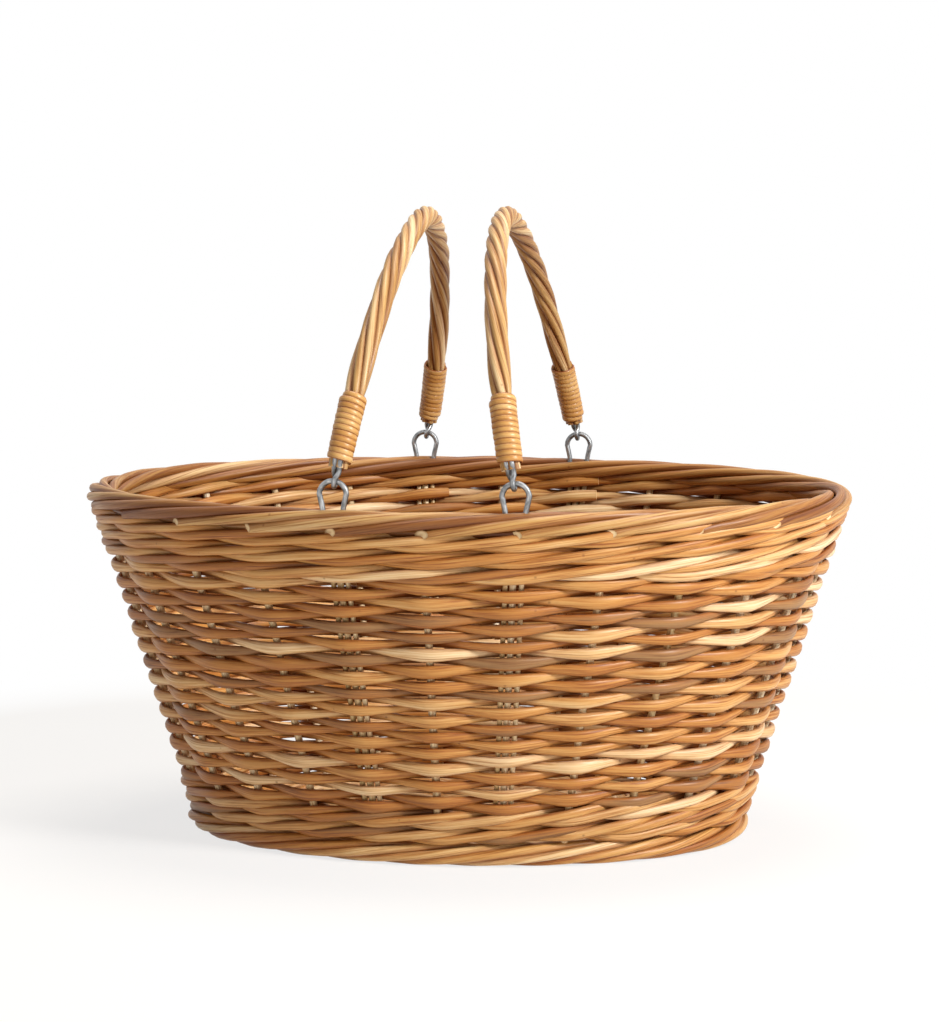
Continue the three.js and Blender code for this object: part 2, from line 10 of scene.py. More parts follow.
import bpy
import numpy as np
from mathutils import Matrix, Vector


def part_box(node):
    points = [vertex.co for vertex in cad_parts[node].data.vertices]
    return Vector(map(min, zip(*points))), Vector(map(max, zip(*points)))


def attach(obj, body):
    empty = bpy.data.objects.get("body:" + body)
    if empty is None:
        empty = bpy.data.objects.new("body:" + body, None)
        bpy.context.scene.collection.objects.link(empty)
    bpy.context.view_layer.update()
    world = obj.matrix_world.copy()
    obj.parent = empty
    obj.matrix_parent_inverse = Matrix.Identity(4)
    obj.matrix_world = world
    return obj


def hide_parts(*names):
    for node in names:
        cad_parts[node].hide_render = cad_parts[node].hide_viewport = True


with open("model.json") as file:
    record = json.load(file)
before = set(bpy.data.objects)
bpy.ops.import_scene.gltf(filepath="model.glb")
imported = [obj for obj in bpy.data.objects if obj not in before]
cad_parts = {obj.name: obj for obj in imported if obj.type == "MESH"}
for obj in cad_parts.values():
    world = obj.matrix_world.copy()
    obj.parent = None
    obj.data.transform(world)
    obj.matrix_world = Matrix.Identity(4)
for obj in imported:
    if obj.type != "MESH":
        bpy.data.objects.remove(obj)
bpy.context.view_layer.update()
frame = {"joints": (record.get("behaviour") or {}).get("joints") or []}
rng = np.random.default_rng(24)

MM = 0.001


def size_mm(node):
    low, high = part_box(node)
    return [(top - bottom) / MM for bottom, top in zip(low, high)]


def middle_mm(node):
    low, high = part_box(node)
    return [(top + bottom) / 2 / MM for bottom, top in zip(low, high)]


# Sizes are in millimetres. A drift is how far a rod strays from its line, or its size from the mean, and
# over what stretch, in the unit in which places along that rod are counted. A pair of sizes is the smallest
# and the largest share of the mean. A pair of counts is the fewest, and one more than the most.

# Sizes that the frame gives
RIM_LENGTH, RIM_WIDTH, BORDER_HEIGHT = size_mm("border")
FOOT_LENGTH, FOOT_WIDTH, FOOT_HEIGHT = size_mm("foot_ring")
BODY_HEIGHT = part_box("border")[1].z / MM
HANDLE_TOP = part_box("left_handle_bow")[1].z / MM
hinges = {joint["child"]: joint["pos_m"] for joint in frame["joints"]}
RING_X = hinges["right_handle"][0] / MM
HINGE_HEIGHT = hinges["right_handle"][2] / MM
RING_Y = middle_mm("handle_ring_back_right")[1]

# Stakes, and where the wall meets the foot and the border
BORDER_WIDTH = 18
FOOT_RING_WIDTH = 16
STAKE_COUNT = 24
STAKE_DIAMETER = 4.4
STAKE_DRIFT = (0.35, 40)
STAKE_SIZE_DRIFT = (0.05, 25)
RING_STAKE_DIAMETER = 3.8
BYE_STAKE_DIAMETER = 3
BYE_STAKE_SPACING = 4.5
BYE_STAKE_SHORTER = 2
STAKE_IN_FOOT = 5
STAKE_IN_BORDER = 4
FOOT_SEAT_DEPTH = 3
RIM_SEAT_DEPTH = 2.5
WALL_OVER_FOOT = 0.5
WALL_IN_BORDER = 3
BORDER_UNDERSIDE = BODY_HEIGHT - BORDER_HEIGHT
FOOT_SEAT = FOOT_HEIGHT - FOOT_SEAT_DEPTH
RIM_SEAT = BORDER_UNDERSIDE + RIM_SEAT_DEPTH
STAKE_BOTTOM = FOOT_HEIGHT - STAKE_IN_FOOT
STAKE_TOP = BORDER_UNDERSIDE + STAKE_IN_BORDER
WALL_LOW = FOOT_HEIGHT + WALL_OVER_FOOT
WALL_HIGH = BORDER_UNDERSIDE + WALL_IN_BORDER

# Waling. Leads, tails, overlaps and tucks are in stakes, and the length of a rod in strokes.
WALE_ROD = 4.6
WALE_FILL = 1.22
WALE_INSIDE_SWELL = 0.4
WALE_SIZES = (0.94, 1.06)
WALE_SIZE_DRIFT = (0.07, 0.6)
WALE_OUT_DRIFT = (0.2, 1)
WALE_UP_DRIFT = (0.25, 0.8)
LOWER_WALE_ROUNDS = 2
UPPER_WALE_ROUNDS = 3
WALE_STROKE = 3
WALE_LEAD = 4
WALE_TAIL = 1
WALE_ROD_STROKES = (3, 7)
WALE_OVERLAP = 0.3
WALE_TUCK_END = 0.6

# Siding. Overlaps and tucks are in stakes, and the length of a rod in pairs of stakes.
SIDING_ROWS = 28
SIDING_LOW = WALL_LOW + 2 * LOWER_WALE_ROUNDS * WALE_ROD
SIDING_HIGH = WALL_HIGH - 2 * UPPER_WALE_ROUNDS * WALE_ROD
ROW_PITCH = (SIDING_HIGH - SIDING_LOW) / SIDING_ROWS
ROD_DEPTH = 4.6
ROD_FILL = 0.55
ROD_SWELL = 0.46
ROD_SIZES = (0.86, 1.12)
ROD_SIZE_DRIFT = (0.08, 0.6)
ROD_OUT_DRIFT = (0.25, 1)
ROD_UP_DRIFT = (0.55, 0.8)
ROD_PAIRS = (6, 11)
ROD_OVERLAP = 0.2
ROD_TUCK_END = 0.5
BEND_TIGHTNESS = 0.93
WEAVE_PRESS = 0.2
WEAVE_OFFSET = STAKE_DIAMETER / 2 + ROD_DEPTH / 2 - WEAVE_PRESS

# Steps from row to row and ends of rods in the wall. Steps and tips are in stakes, and the rise in rows.
STEP_UP = 6
TAIL_RISE = 0.5
JOIN_TUCK = 1.4
TIP_TAPER = 0.4
TIP_LENGTH = 0.8

# Border and foot, each rolled from one rod per stake. The reach and the length of the trim are in stakes,
# the roll is in degrees, and a core is given as half its width and half its height.
BORDER_ROD = 5.9
BORDER_REACH = 5
BORDER_ROLL = (278, -58)
BORDER_CORE = (3.4, 1.8)
FOOT_ROD = 5.3
FOOT_REACH = 5.6
FOOT_ROLL = (200, -150)
FOOT_CORE = (3, 2)
TREAD = 0.1
ROLL_DRIFT = (6, 0.2)
ROLL_SIZES = (0.9, 1.05)
ROLL_SIZE_DRIFT = (0.07, 0.12)
TRIM_LENGTH = 0.3
TRIM_FLARE = 2.2
TRIM_DROP = 1.2
TRIM_TAPER = 0.15
TRIM_PAST_END = 0.02
TRIM_SLANTS = (1.2, 2.2)

# Base
BASE_HALF_LENGTH = FOOT_LENGTH / 2 - FOOT_RING_WIDTH
BASE_HALF_WIDTH = FOOT_WIDTH / 2 - FOOT_RING_WIDTH
BASE_MIDDLE = 7.5
BASE_SPINE = 56
BASE_ROD = 4.2
BASE_ROW_PITCH = 3.9
BASE_PRESS = 0.9
BASE_FILL = 1.4
BASE_SWELL = 0.35
BASE_SIZES = (0.95, 1.08)
BASE_DRIFT = (0.2, 0.2)
FAN_ANGLES = (19, 38)
FAN_START = 0.3
FAN_END = 1.02
FAN_DIAMETER = 5
CROSS_STICK_COUNT = 5
CROSS_STICK_SPACING = 42
CROSS_STICK_DIAMETER = 6
CROSS_STICK_REACH = 0.97
LONG_STICK_SPACING = 6
LONG_STICK_DIAMETER = 5.6
STICK_IN_FOOT = 2
STICK_SIZE_DRIFT = (0.04, 0.1)

# Rings and eyes. The shares are of the leg of the eye, over which it closes, turns and moves outwards.
RING_WIRE = 3.1
RING_RADIUS = 7.5
RING_LEG_SPREAD = 11.2
RING_LEG_DEPTH = 9.5
RING_EASE = 2
EYE_WIRE = 2.9
EYE_RADIUS = 3.1
EYE_SPREAD = 1.55
EYE_TWIST = 80
EYE_LEG_DEPTH = 9
EYE_OUT = 4.4
EYE_CLOSING = 0.45
EYE_TURNING = 0.5
EYE_LEAVING = 0.7

# Handles. A lay is the length of handle in which a strand goes round once.
HANDLE_LEAN = 10
HANDLE_DIAMETER = 12.8
HANDLE_REACH = (HANDLE_TOP - HINGE_HEIGHT - HANDLE_DIAMETER / 2) / math.cos(math.radians(HANDLE_LEAN))
HANDLE_ROUNDNESS = 1.8
HANDLE_NECK_DIAMETER = 11.2
HANDLE_BUTT = 15
HANDLE_CORE = 0.66
HANDLE_STRANDS = 6
STRAND_DIAMETER = 4.8
STRAND_SIZES = (0.95, 1.05)
STRAND_WIDENING = 1.06
STRAND_OUT_DRIFT = (0.2, 30)
STRAND_TURN_DRIFT = (0.1, 35)
LEG_LAY = 230
TOP_LAY = 105
LAY_PEAK = 3
NECK_EASE = (6, 10)
BARE_BUTT = 2
WRAP_LENGTH = 40
WRAP_TURNS = 12
WRAP_TAPER = 1
WRAP_DRIFT = (0.12, 0.8)
CANE_THICKNESS = 1.6
CANE_LAP = 1.28
CANE_TUCK = 0.8
CANE_TUCK_TURNS = 0.35

# How much shade is painted into a rod's colour for lying deep in the weave: all over, on its flanks
# and on the side against a stake. The sum is held between 0 and 1.
WALL_RECESS = 0.1
BASE_RECESS = 0.4
STAKE_CREASE = 0.1
PLAIN_CREASE = 0.3
SIDING_CREASE = 0.6
WALE_CREASE = 0.7
ROLL_CREASE = 0.8
STRAND_CREASE = 1.2
CANE_CREASE = 1.5
BURIED_DEPTH = 0.75

# How the stain differs from rod to rod, and the length along which each rod's grain starts at its own place
TINT_MEAN = 0.5
TINT_SPREAD = 0.24
GRAIN_SHIFT = 9000

# Facets
SAMPLES_PER_STAKE = 8
ROLL_SAMPLES_PER_STAKE = 11
STAKE_SAMPLES = 48
STICK_SAMPLES = 30
CORE_SAMPLES = 240
INNER_ROW_SAMPLES = 60
SAMPLES_MORE_PER_ROW = 4
RING_BEND_SAMPLES = 36
RING_LEG_SAMPLES = 20
EYE_SAMPLES = 24
HANDLE_SAMPLES = 2400
STRAND_SAMPLES = 170
SAMPLES_PER_TURN = 22
OVAL_STEPS = 3600
ROD_SIDES = 10
ROW_SIDES = 8
WIRE_SIDES = 12

UP = np.array([0.0, 0.0, 1.0])
SIDEWAYS = np.array([1.0, 0.0, 0.0])
BACKWARDS = np.array([0.0, 1.0, 0.0])


def unit(vectors):
    return vectors / np.linalg.norm(vectors, axis=-1, keepdims=True)


def smooth(value, low, high):
    """0 below low, 1 above high and an even ease between them."""
    share = np.clip((value - low) / (high - low), 0, 1)
    return share * share * (3 - 2 * share)


def wander(places, drift):
    """Slow random drift along a rod: a draw at every step, joined by eases."""
    reach, step = drift
    scaled = (places - places[0]) / step
    draws = rng.uniform(-reach, reach, int(scaled[-1]) + 2)
    before = scaled.astype(int)
    ease = smooth(scaled - before, 0, 1)
    return draws[before] * (1 - ease) + draws[before + 1] * ease


def rod(line, facing, deep, tall, painted_shade=0.0, crease=PLAIN_CREASE, swing=0.0, cut_look=None,
        sides=ROD_SIDES, closed=False):
    """One round tube along a line of points. deep and tall are its half sizes along and across facing.

    The depth in the weave given for each point of the line, from 0 to 1, is painted into the colour as
    shade, and crease adds painted shade on the rod's flanks, where it meets its neighbours. swing is 1
    where the rod passes in front of a stake and -1 where it passes behind, so that shade is also painted on
    the side next to the stake. cut_look is the direction that the last end's face looks in, where that end
    is cut slanting.
    """
    count = len(line)
    ahead = np.roll(line, -1, axis=0) - np.roll(line, 1, axis=0)
    if not closed:
        ahead[0] = line[1] - line[0]
        ahead[-1] = line[-1] - line[-2]
    ahead = unit(ahead)
    out = unit(facing - np.sum(facing * ahead, axis=1, keepdims=True) * ahead)
    across = np.cross(ahead, out)
    angle = np.linspace(0, 2 * np.pi, sides, endpoint=False)
    deep = np.broadcast_to(deep, count)[:, None] * np.cos(angle)
    tall = np.broadcast_to(tall, count)[:, None] * np.sin(angle)
    offset = deep[..., None] * out[:, None] + tall[..., None] * across[:, None]
    if cut_look is not None:
        slope = offset[-1] @ cut_look / (cut_look @ ahead[-1])
        offset[-1] -= slope[:, None] * ahead[-1]
    steps = np.linalg.norm(np.diff(line, axis=0), axis=1)
    gone = np.concatenate([[0], np.cumsum(steps)]) + rng.uniform(0, GRAIN_SHIFT)
    grain = np.stack([deep, tall, np.broadcast_to(gone[:, None], deep.shape)], axis=-1)
    points = [(line[:, None] + offset).reshape(-1, 3)]
    grains = [grain.reshape(-1, 3)]
    ring = np.arange(sides)
    after = np.roll(ring, -1)
    spans = np.arange(count if closed else count - 1)
    here = (spans * sides)[:, None]
    there = ((spans + 1) % count * sides)[:, None]
    skin = np.stack([here + ring, here + after, there + after, there + ring], axis=-1)
    faces = skin.reshape(-1, 4).tolist()
    total = count * sides
    if not closed:
        for end, order in ((0, (after, ring)), (-1, (ring, after))):
            points += [line[end] + offset[end], line[end][None]]
            grains += [grain[end], [[0, 0, gone[end]]]]
            centre = np.full(sides, total + sides)
            faces += np.stack([centre, total + order[0], total + order[1]], axis=-1).tolist()
            total += sides + 1
    cut = np.zeros(total)
    cut[count * sides:] = 1
    # Shade painted into the colour: the given depth, with more on the flanks and on the side against a
    # stake
    depth = np.zeros(total)
    flanks = crease * (1 - np.abs(np.cos(angle)))
    buried = BURIED_DEPTH * (-np.broadcast_to(swing, count)[:, None] * np.cos(angle)).clip(0)
    sunk = np.broadcast_to(painted_shade, count)[:, None] + flanks + buried
    depth[:count * sides] = sunk.clip(0, 1).ravel()
    tint = np.clip(rng.normal(TINT_MEAN, TINT_SPREAD), 0, 1)
    return {
        "points": np.concatenate(points),
        "faces": faces,
        "grain": np.concatenate(grains),
        "cut": cut,
        "painted_shade": depth,
        "tint": np.full(total, tint),
    }


def piece(name, rods, material, body, slot, *nodes):
    """Joins rods into one piece that stands for its nodes, rides on a body and has a finish."""
    faces = []
    base = 0
    for part in rods:
        faces += [[corner + base for corner in face] for face in part["faces"]]
        base += len(part["points"])
    mesh = bpy.data.meshes.new(name)
    mesh.from_pydata(np.concatenate([part["points"] for part in rods]) * MM, [], faces)
    mesh.polygons.foreach_set("use_smooth", [True] * len(mesh.polygons))
    for key in ("tint", "cut", "painted_shade"):
        values = np.concatenate([part[key] for part in rods]).astype(np.float32)
        mesh.attributes.new(key, "FLOAT", "POINT").data.foreach_set("value", values)
    grain = np.concatenate([part["grain"] for part in rods]).astype(np.float32)
    mesh.attributes.new("grain", "FLOAT_VECTOR", "POINT").data.foreach_set("vector", grain.ravel())
    mesh.materials.append(material)
    made = bpy.data.objects.new(name, mesh)
    bpy.context.scene.collection.objects.link(made)
    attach(made, body)
    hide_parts(*nodes)


# The lines of the stakes round the foot and the rim


def oval(length, width):
    """An ellipse with the share of its way round worked out by length, from the +X end."""
    angle = np.linspace(0, 2 * np.pi, OVAL_STEPS + 1)
    points = np.stack([length / 2 * np.cos(angle), width / 2 * np.sin(angle)], axis=-1)
    gone = np.concatenate([[0], np.cumsum(np.linalg.norm(np.diff(points, axis=0), axis=1))])
    return {"angle": angle, "share": gone / gone[-1], "half": (length / 2, width / 2)}


FOOT_LINE = oval(FOOT_LENGTH - FOOT_RING_WIDTH, FOOT_WIDTH - FOOT_RING_WIDTH)
RIM_LINE = oval(RIM_LENGTH - BORDER_WIDTH, RIM_WIDTH - BORDER_WIDTH)


def on_oval(line, turn, height):
    """Points of an oval at a height, with the directions along it and outwards."""
    angle = np.interp(np.mod(turn, 1), line["share"], line["angle"])
    half_x, half_y = line["half"]
    level = np.broadcast_to(height, angle.shape)
    points = np.stack([half_x * np.cos(angle), half_y * np.sin(angle), level], axis=-1)
    along = unit(np.stack([-half_x * np.sin(angle), half_y * np.cos(angle), 0 * angle], axis=-1))
    return points, along, np.cross(along, UP)


def on_wall(stake, height):
    """Points of the leaning wall at a place in stakes, with its outward, upward and level directions."""
    low, low_along, _ = on_oval(FOOT_LINE, stake / STAKE_COUNT, FOOT_SEAT)
    high, high_along, _ = on_oval(RIM_LINE, stake / STAKE_COUNT, RIM_SEAT)
    share = ((height - FOOT_SEAT) / (RIM_SEAT - FOOT_SEAT))[:, None]
    rise = unit(high - low)
    along = unit(low_along * (1 - share) + high_along * share)
    return low + (high - low) * share, unit(np.cross(along, rise)), rise, along


# Stakes

FRONT_STAKE = STAKE_COUNT * 3 // 4
BACK_STAKE = STAKE_COUNT // 4
RING_STAKES = {
    "back_right": BACK_STAKE - 1,
    "back_left": BACK_STAKE + 1,
    "front_left": FRONT_STAKE - 1,
    "front_right": FRONT_STAKE + 1,
}


def upright(stake, aside, diameter, top):
    """A stake from the foot into the border, with the small bends of a grown rod."""
    height = np.linspace(STAKE_BOTTOM, top, STAKE_SAMPLES)
    centre, outward, _, along = on_wall(np.full(len(height), float(stake)), height)
    drift = wander(height, STAKE_DRIFT)[:, None]
    half = diameter / 2 * (1 + wander(height, STAKE_SIZE_DRIFT))
    # A little painted shade on the stake's flanks
    return rod(centre + along * (aside + drift), outward, half, half, crease=STAKE_CREASE)


def make_stakes():
    for stake in range(STAKE_COUNT):
        carries_ring = stake in RING_STAKES.values()
        diameter = RING_STAKE_DIAMETER if carries_ring else STAKE_DIAMETER
        number = f"{stake + 1:02d}"
        rods = [upright(stake, 0, diameter, STAKE_TOP)]
        name = f"willow_stake_{number}"
        piece(name, rods, STAKE_WILLOW, "basket", "willow_stakes", f"side_stake_{number}")
    top = STAKE_TOP - BYE_STAKE_SHORTER
    for corner, stake in RING_STAKES.items():
        for side, sign in (("a", -1), ("b", 1)):
            rods = [upright(stake, sign * BYE_STAKE_SPACING, BYE_STAKE_DIAMETER, top)]
            node = f"bye_stake_{corner}_{side}"
            piece(f"willow_{node}", rods, STAKE_WILLOW, "basket", "willow_stakes", node)


# Siding: two runs chase each other round the stakes, one in front where the other is behind.
# A run has its name, the stake it starts at, and its lead, the stakes by which it starts before that one.

SIDING_RUNS = (("a", 0, 1), ("b", STAKE_COUNT // 2, 2))


def stairs(place, step, ramp):
    """A whole number that goes up by one at each step of the place, over a ramp as long as given."""
    level = np.floor(place / step)
    return level + smooth(place - level * step, step - ramp, step)


def tip(place, end):
    """The size of a rod as a share of its full size, where it thins towards its tip."""
    return 1 - TIP_TAPER * smooth(place, end - TIP_LENGTH, end)


def tuck(place, start, length):
    """How much further in than the rest of the rod its butt lies."""
    return JOIN_TUCK * (1 - smooth(place, start, start + length))


def siding_run(first_stake, lead):
    """The rods of one run. Each new rod is let in behind a stake, with its butt on the inside."""
    rods = []
    last = SIDING_ROWS / 2 * STAKE_COUNT - lead
    start = -lead
    while start < last:
        end = min(start + 2 * int(rng.integers(*ROD_PAIRS)), last)
        place = np.arange(start - ROD_OVERLAP, end + ROD_OVERLAP, 1 / SAMPLES_PER_STAKE)
        row = np.minimum(stairs(place.clip(0), STAKE_COUNT / 2, STEP_UP), SIDING_ROWS - 1 + TAIL_RISE)
        height = SIDING_LOW + (row + 0.5) * ROW_PITCH
        centre, outward, rise, _ = on_wall(first_stake + place, height)
        swing = np.cos(np.pi * (place + lead + 1))
        bend = np.arcsin(BEND_TIGHTNESS * swing) / np.arcsin(BEND_TIGHTNESS)
        offset = (WEAVE_OFFSET + wander(place, ROD_OUT_DRIFT)) * bend - tuck(place, start, ROD_TUCK_END)
        size = rng.uniform(*ROD_SIZES) * (1 + wander(place, ROD_SIZE_DRIFT)) * tip(place, end)
        line = centre + outward * offset[:, None] + rise * wander(place, ROD_UP_DRIFT)[:, None]
        deep = ROD_DEPTH / 2 * size
        tall = ROD_FILL * ROW_PITCH * (1 + ROD_SWELL * swing ** 2) * size
        # Painted shade: a little all over, more on the flanks and on the side against a stake
        rods.append(rod(line, outward, deep, tall, painted_shade=WALL_RECESS, crease=SIDING_CREASE, swing=bend))
        start = end
    return rods


def make_siding():
    for name, first_stake, lead in SIDING_RUNS:
        rods = siding_run(first_stake, lead)
        node = f"siding_rod_{name}"
        piece(f"willow_siding_{name}", rods, SIDING_WILLOW, "basket", "willow_siding", node)


# Waling: three rods to a round, each in front of two stakes and behind one, rising as it passes in front.
# The values are for every half stake of a stroke, from the first stake that the rod passes in front of.

WALE_OUT = np.array([1, 1.05, 1, 0, -1, 0])
WALE_RISE = np.array([-0.96, 0, 0.96, 1, 0, -1])


def round_loop(values, place):
    """A smooth closed curve through evenly spaced values, at places counted in values."""
    count = len(values)
    at = np.floor(place).astype(int)
    share = place - at
    before, here, there, beyond = (values[(at + step) % count] for step in (-1, 0, 1, 2))
    straight = there - before
    bent = 2 * before - 5 * here + 4 * there - beyond
    last = 3 * (here - there) + beyond - before
    return here + share * (straight + share * (bent + share * last)) / 2


def wale_rods(low, rounds):
    """The rods of a wale. All three weavers step up to the next round at the same stakes."""
    rods = []
    last = rounds * STAKE_COUNT - WALE_TAIL
    for weaver in range(WALE_STROKE):
        start = -WALE_LEAD
        while start < last:
            end = min(start + WALE_STROKE * int(rng.integers(*WALE_ROD_STROKES)), last)
            place = np.arange(start - WALE_OVERLAP, end + WALE_OVERLAP, 1 / SAMPLES_PER_STAKE)
            stroke = np.mod(2 * place, 2 * WALE_STROKE)
            out = round_loop(WALE_OUT, stroke)
            lift = round_loop(WALE_RISE, stroke)
            level = stairs((weaver + place).clip(0), STAKE_COUNT, STEP_UP)
            level = np.minimum(level, rounds - 1 + TAIL_RISE)
            height = low + (2 * level + 1 + lift / 2) * WALE_ROD
            centre, outward, rise, _ = on_wall(weaver + place, height)
            half = WALE_ROD / 2 * rng.uniform(*WALE_SIZES) * (1 + wander(place, WALE_SIZE_DRIFT))
            half = half * tip(place, end)
            butt = tuck(place, start, WALE_TUCK_END)
            offset = (WEAVE_OFFSET + wander(place, WALE_OUT_DRIFT)) * out - butt
            line = centre + outward * offset[:, None] + rise * wander(place, WALE_UP_DRIFT)[:, None]
            tall = half * (WALE_FILL + WALE_INSIDE_SWELL * (-out).clip(0))
            # Painted shade: a little all over, more on the flanks and on the side against a stake
            rods.append(rod(line, outward, half, tall, painted_shade=WALL_RECESS, crease=WALE_CREASE, swing=out))
            start = end
    return rods


def make_wales():
    lower = ("lower_wale", WALL_LOW, LOWER_WALE_ROUNDS)
    upper = ("upper_wale", SIDING_HIGH, UPPER_WALE_ROUNDS)
    for node, low, rounds in (lower, upper):
        piece(f"willow_{node}", wale_rods(low, rounds), WALE_WILLOW, "basket", "willow_waling", node)


# Border and foot: each rod leaves its stake inside, rolls over the others and is trimmed outside


def rolled_rods(line, middle, half_width, half_height, diameter, reach, roll):
    rods = []
    first, last = roll
    roll_width = half_width - diameter / 2
    roll_height = half_height - diameter / 2
    share = np.linspace(0, 1, int(reach * ROLL_SAMPLES_PER_STAKE))
    for stake in range(STAKE_COUNT):
        angle = np.radians(first + (last - first) * share + wander(share, ROLL_DRIFT))
        centre, _, outward = on_oval(line, (stake - reach * share) / STAKE_COUNT, middle)
        trimmed = smooth(share, 1 - TRIM_LENGTH / reach, 1 + TRIM_PAST_END)
        side = roll_width * np.cos(angle) + TRIM_FLARE * trimmed
        level = roll_height * np.sin(angle) - TRIM_DROP * trimmed
        path = centre + outward * side[:, None] + UP * level[:, None]
        facing = outward * np.cos(angle)[:, None] + UP * np.sin(angle)[:, None]
        half = diameter / 2 * rng.uniform(*ROLL_SIZES) * (1 + wander(share, ROLL_SIZE_DRIFT))
        half = half * (1 - TRIM_TAPER * trimmed)
        forward = unit(path[-1] - path[-2])
        look = unit(rng.uniform(*TRIM_SLANTS) * outward[-1] + forward)
        # Painted shade on each rolled rod's flanks
        rods.append(rod(path, facing, half, half, crease=ROLL_CREASE, cut_look=look))
    return rods


def rolled_core(line, middle, half_width, half_height):
    """The hidden ends inside a roll, as one filling that closes the gaps between its rods, coloured with
    full painted shade.
    """
    turn = np.linspace(0, 1, CORE_SAMPLES, endpoint=False)
    centre, _, outward = on_oval(line, turn, middle)
    return rod(centre, outward, half_width, half_height, painted_shade=1.0, closed=True)


def make_border():
    half = BORDER_HEIGHT / 2
    middle = BODY_HEIGHT - half
    rods = rolled_rods(RIM_LINE, middle, BORDER_WIDTH / 2, half, BORDER_ROD, BORDER_REACH, BORDER_ROLL)
    rods.append(rolled_core(RIM_LINE, middle, *BORDER_CORE))
    piece("willow_border", rods, BORDER_WILLOW, "basket", "willow_border", "border")


def make_foot():
    half = FOOT_HEIGHT / 2
    rods = rolled_rods(FOOT_LINE, half, FOOT_RING_WIDTH / 2, half, FOOT_ROD, FOOT_REACH, FOOT_ROLL)
    rods.append(rolled_core(FOOT_LINE, half, *FOOT_CORE))
    for part in rods:
        part["points"][:, 2] = part["points"][:, 2].clip(TREAD)
    piece("willow_foot", rods, BASE_WILLOW, "basket", "willow_base", "foot_ring")


# Base: thin rods woven in ovals, over and under a cross of sticks and a fan of shorter ones at each end


def base_point(share, angle):
    """A point of the base: share 0 is on its spine and 1 at its edge, angle goes round it."""
    half_length = BASE_SPINE + share * (BASE_HALF_LENGTH - BASE_SPINE)
    return np.stack([half_length * np.cos(angle), share * BASE_HALF_WIDTH * np.sin(angle)], axis=-1)


def cross_stick_place(number):
    return (number - (CROSS_STICK_COUNT - 1) / 2) * CROSS_STICK_SPACING


def crossings(share):
    """The angles at which a row of the base meets a stick, all the way round."""
    half_length = base_point(share, 0.0)[0]
    places = [cross_stick_place(number) for number in range(CROSS_STICK_COUNT)]
    reached = [place for place in places if abs(place) < half_length * CROSS_STICK_REACH]
    upper = [math.acos(place / half_length) for place in reached]
    if share > FAN_START:
        upper += [math.radians(turn) for fan in FAN_ANGLES for turn in (fan, 180 - fan)]
    return sorted([0, math.pi, *upper, *(2 * math.pi - angle for angle in upper), 2 * math.pi])


def straight_stick(from_point, to_point, diameter):
    share = np.linspace(0, 1, STICK_SAMPLES)[:, None]
    line = np.array(from_point) * (1 - share) + np.array(to_point) * share
    half = diameter / 2 * (1 + wander(share[:, 0], STICK_SIZE_DRIFT))
    # Painted shade on the stick's flanks
    return rod(line, np.broadcast_to(UP, line.shape), half, half)


def base_rows():
    rods = []
    lift = (FAN_DIAMETER + BASE_ROD) / 2 - BASE_PRESS
    count = int(BASE_HALF_WIDTH / BASE_ROW_PITCH)
    for number in range(1, count + 1):
        share = number / count
        marks = crossings(share)
        samples = INNER_ROW_SAMPLES + SAMPLES_MORE_PER_ROW * number
        angle = np.linspace(0, 2 * np.pi, samples, endpoint=False)
        phase = np.interp(angle, marks, np.arange(len(marks)))
        swing = np.cos(np.pi * phase) * (1 if number % 2 else -1)
        level = BASE_MIDDLE + lift * swing + wander(angle, BASE_DRIFT)
        line = np.concatenate([base_point(share, angle), level[:, None]], axis=1)
        half = BASE_ROD / 2 * rng.uniform(*BASE_SIZES)
        flat = BASE_ROW_PITCH / 2 * (BASE_FILL + BASE_SWELL * np.abs(swing))
        # Painted shade, strongest midway between sticks where a row dives from over one stick to under the
        # next
        painted_shade = BASE_RECESS * (1 - np.abs(swing))
        facing = np.broadcast_to(UP, line.shape)
        rods.append(rod(line, facing, half, flat, painted_shade=painted_shade, sides=ROW_SIDES, closed=True))
    for fan in FAN_ANGLES:
        for turn in (fan, 180 - fan, 180 + fan, 360 - fan):
            ends = [base_point(share, math.radians(turn)) for share in (FAN_START, FAN_END)]
            start, end = (np.append(point, BASE_MIDDLE) for point in ends)
            rods.append(straight_stick(start, end, FAN_DIAMETER))
    return rods


def make_base():
    piece("willow_base_weave", base_rows(), BASE_WILLOW, "basket", "willow_base", "base_mat")
    reach = BASE_HALF_LENGTH + STICK_IN_FOOT
    for at, across in enumerate((-LONG_STICK_SPACING / 2, LONG_STICK_SPACING / 2)):
        ends = [(end, across, BASE_MIDDLE) for end in (-reach, reach)]
        stick = straight_stick(*ends, LONG_STICK_DIAMETER)
        node = f"base_long_stick_{at + 1}"
        piece(f"willow_long_stick_{at + 1}", [stick], BASE_WILLOW, "basket", "willow_base", node)
    for at in range(CROSS_STICK_COUNT):
        along = cross_stick_place(at)
        reach = BASE_HALF_WIDTH * math.sqrt(1 - (along / BASE_HALF_LENGTH) ** 2) + STICK_IN_FOOT
        ends = [(along, end, BASE_MIDDLE) for end in (-reach, reach)]
        stick = straight_stick(*ends, CROSS_STICK_DIAMETER)
        node = f"base_cross_stick_{at + 1}"
        piece(f"willow_cross_stick_{at + 1}", [stick], BASE_WILLOW, "basket", "willow_base", node)


# Rings and eyes of bent wire


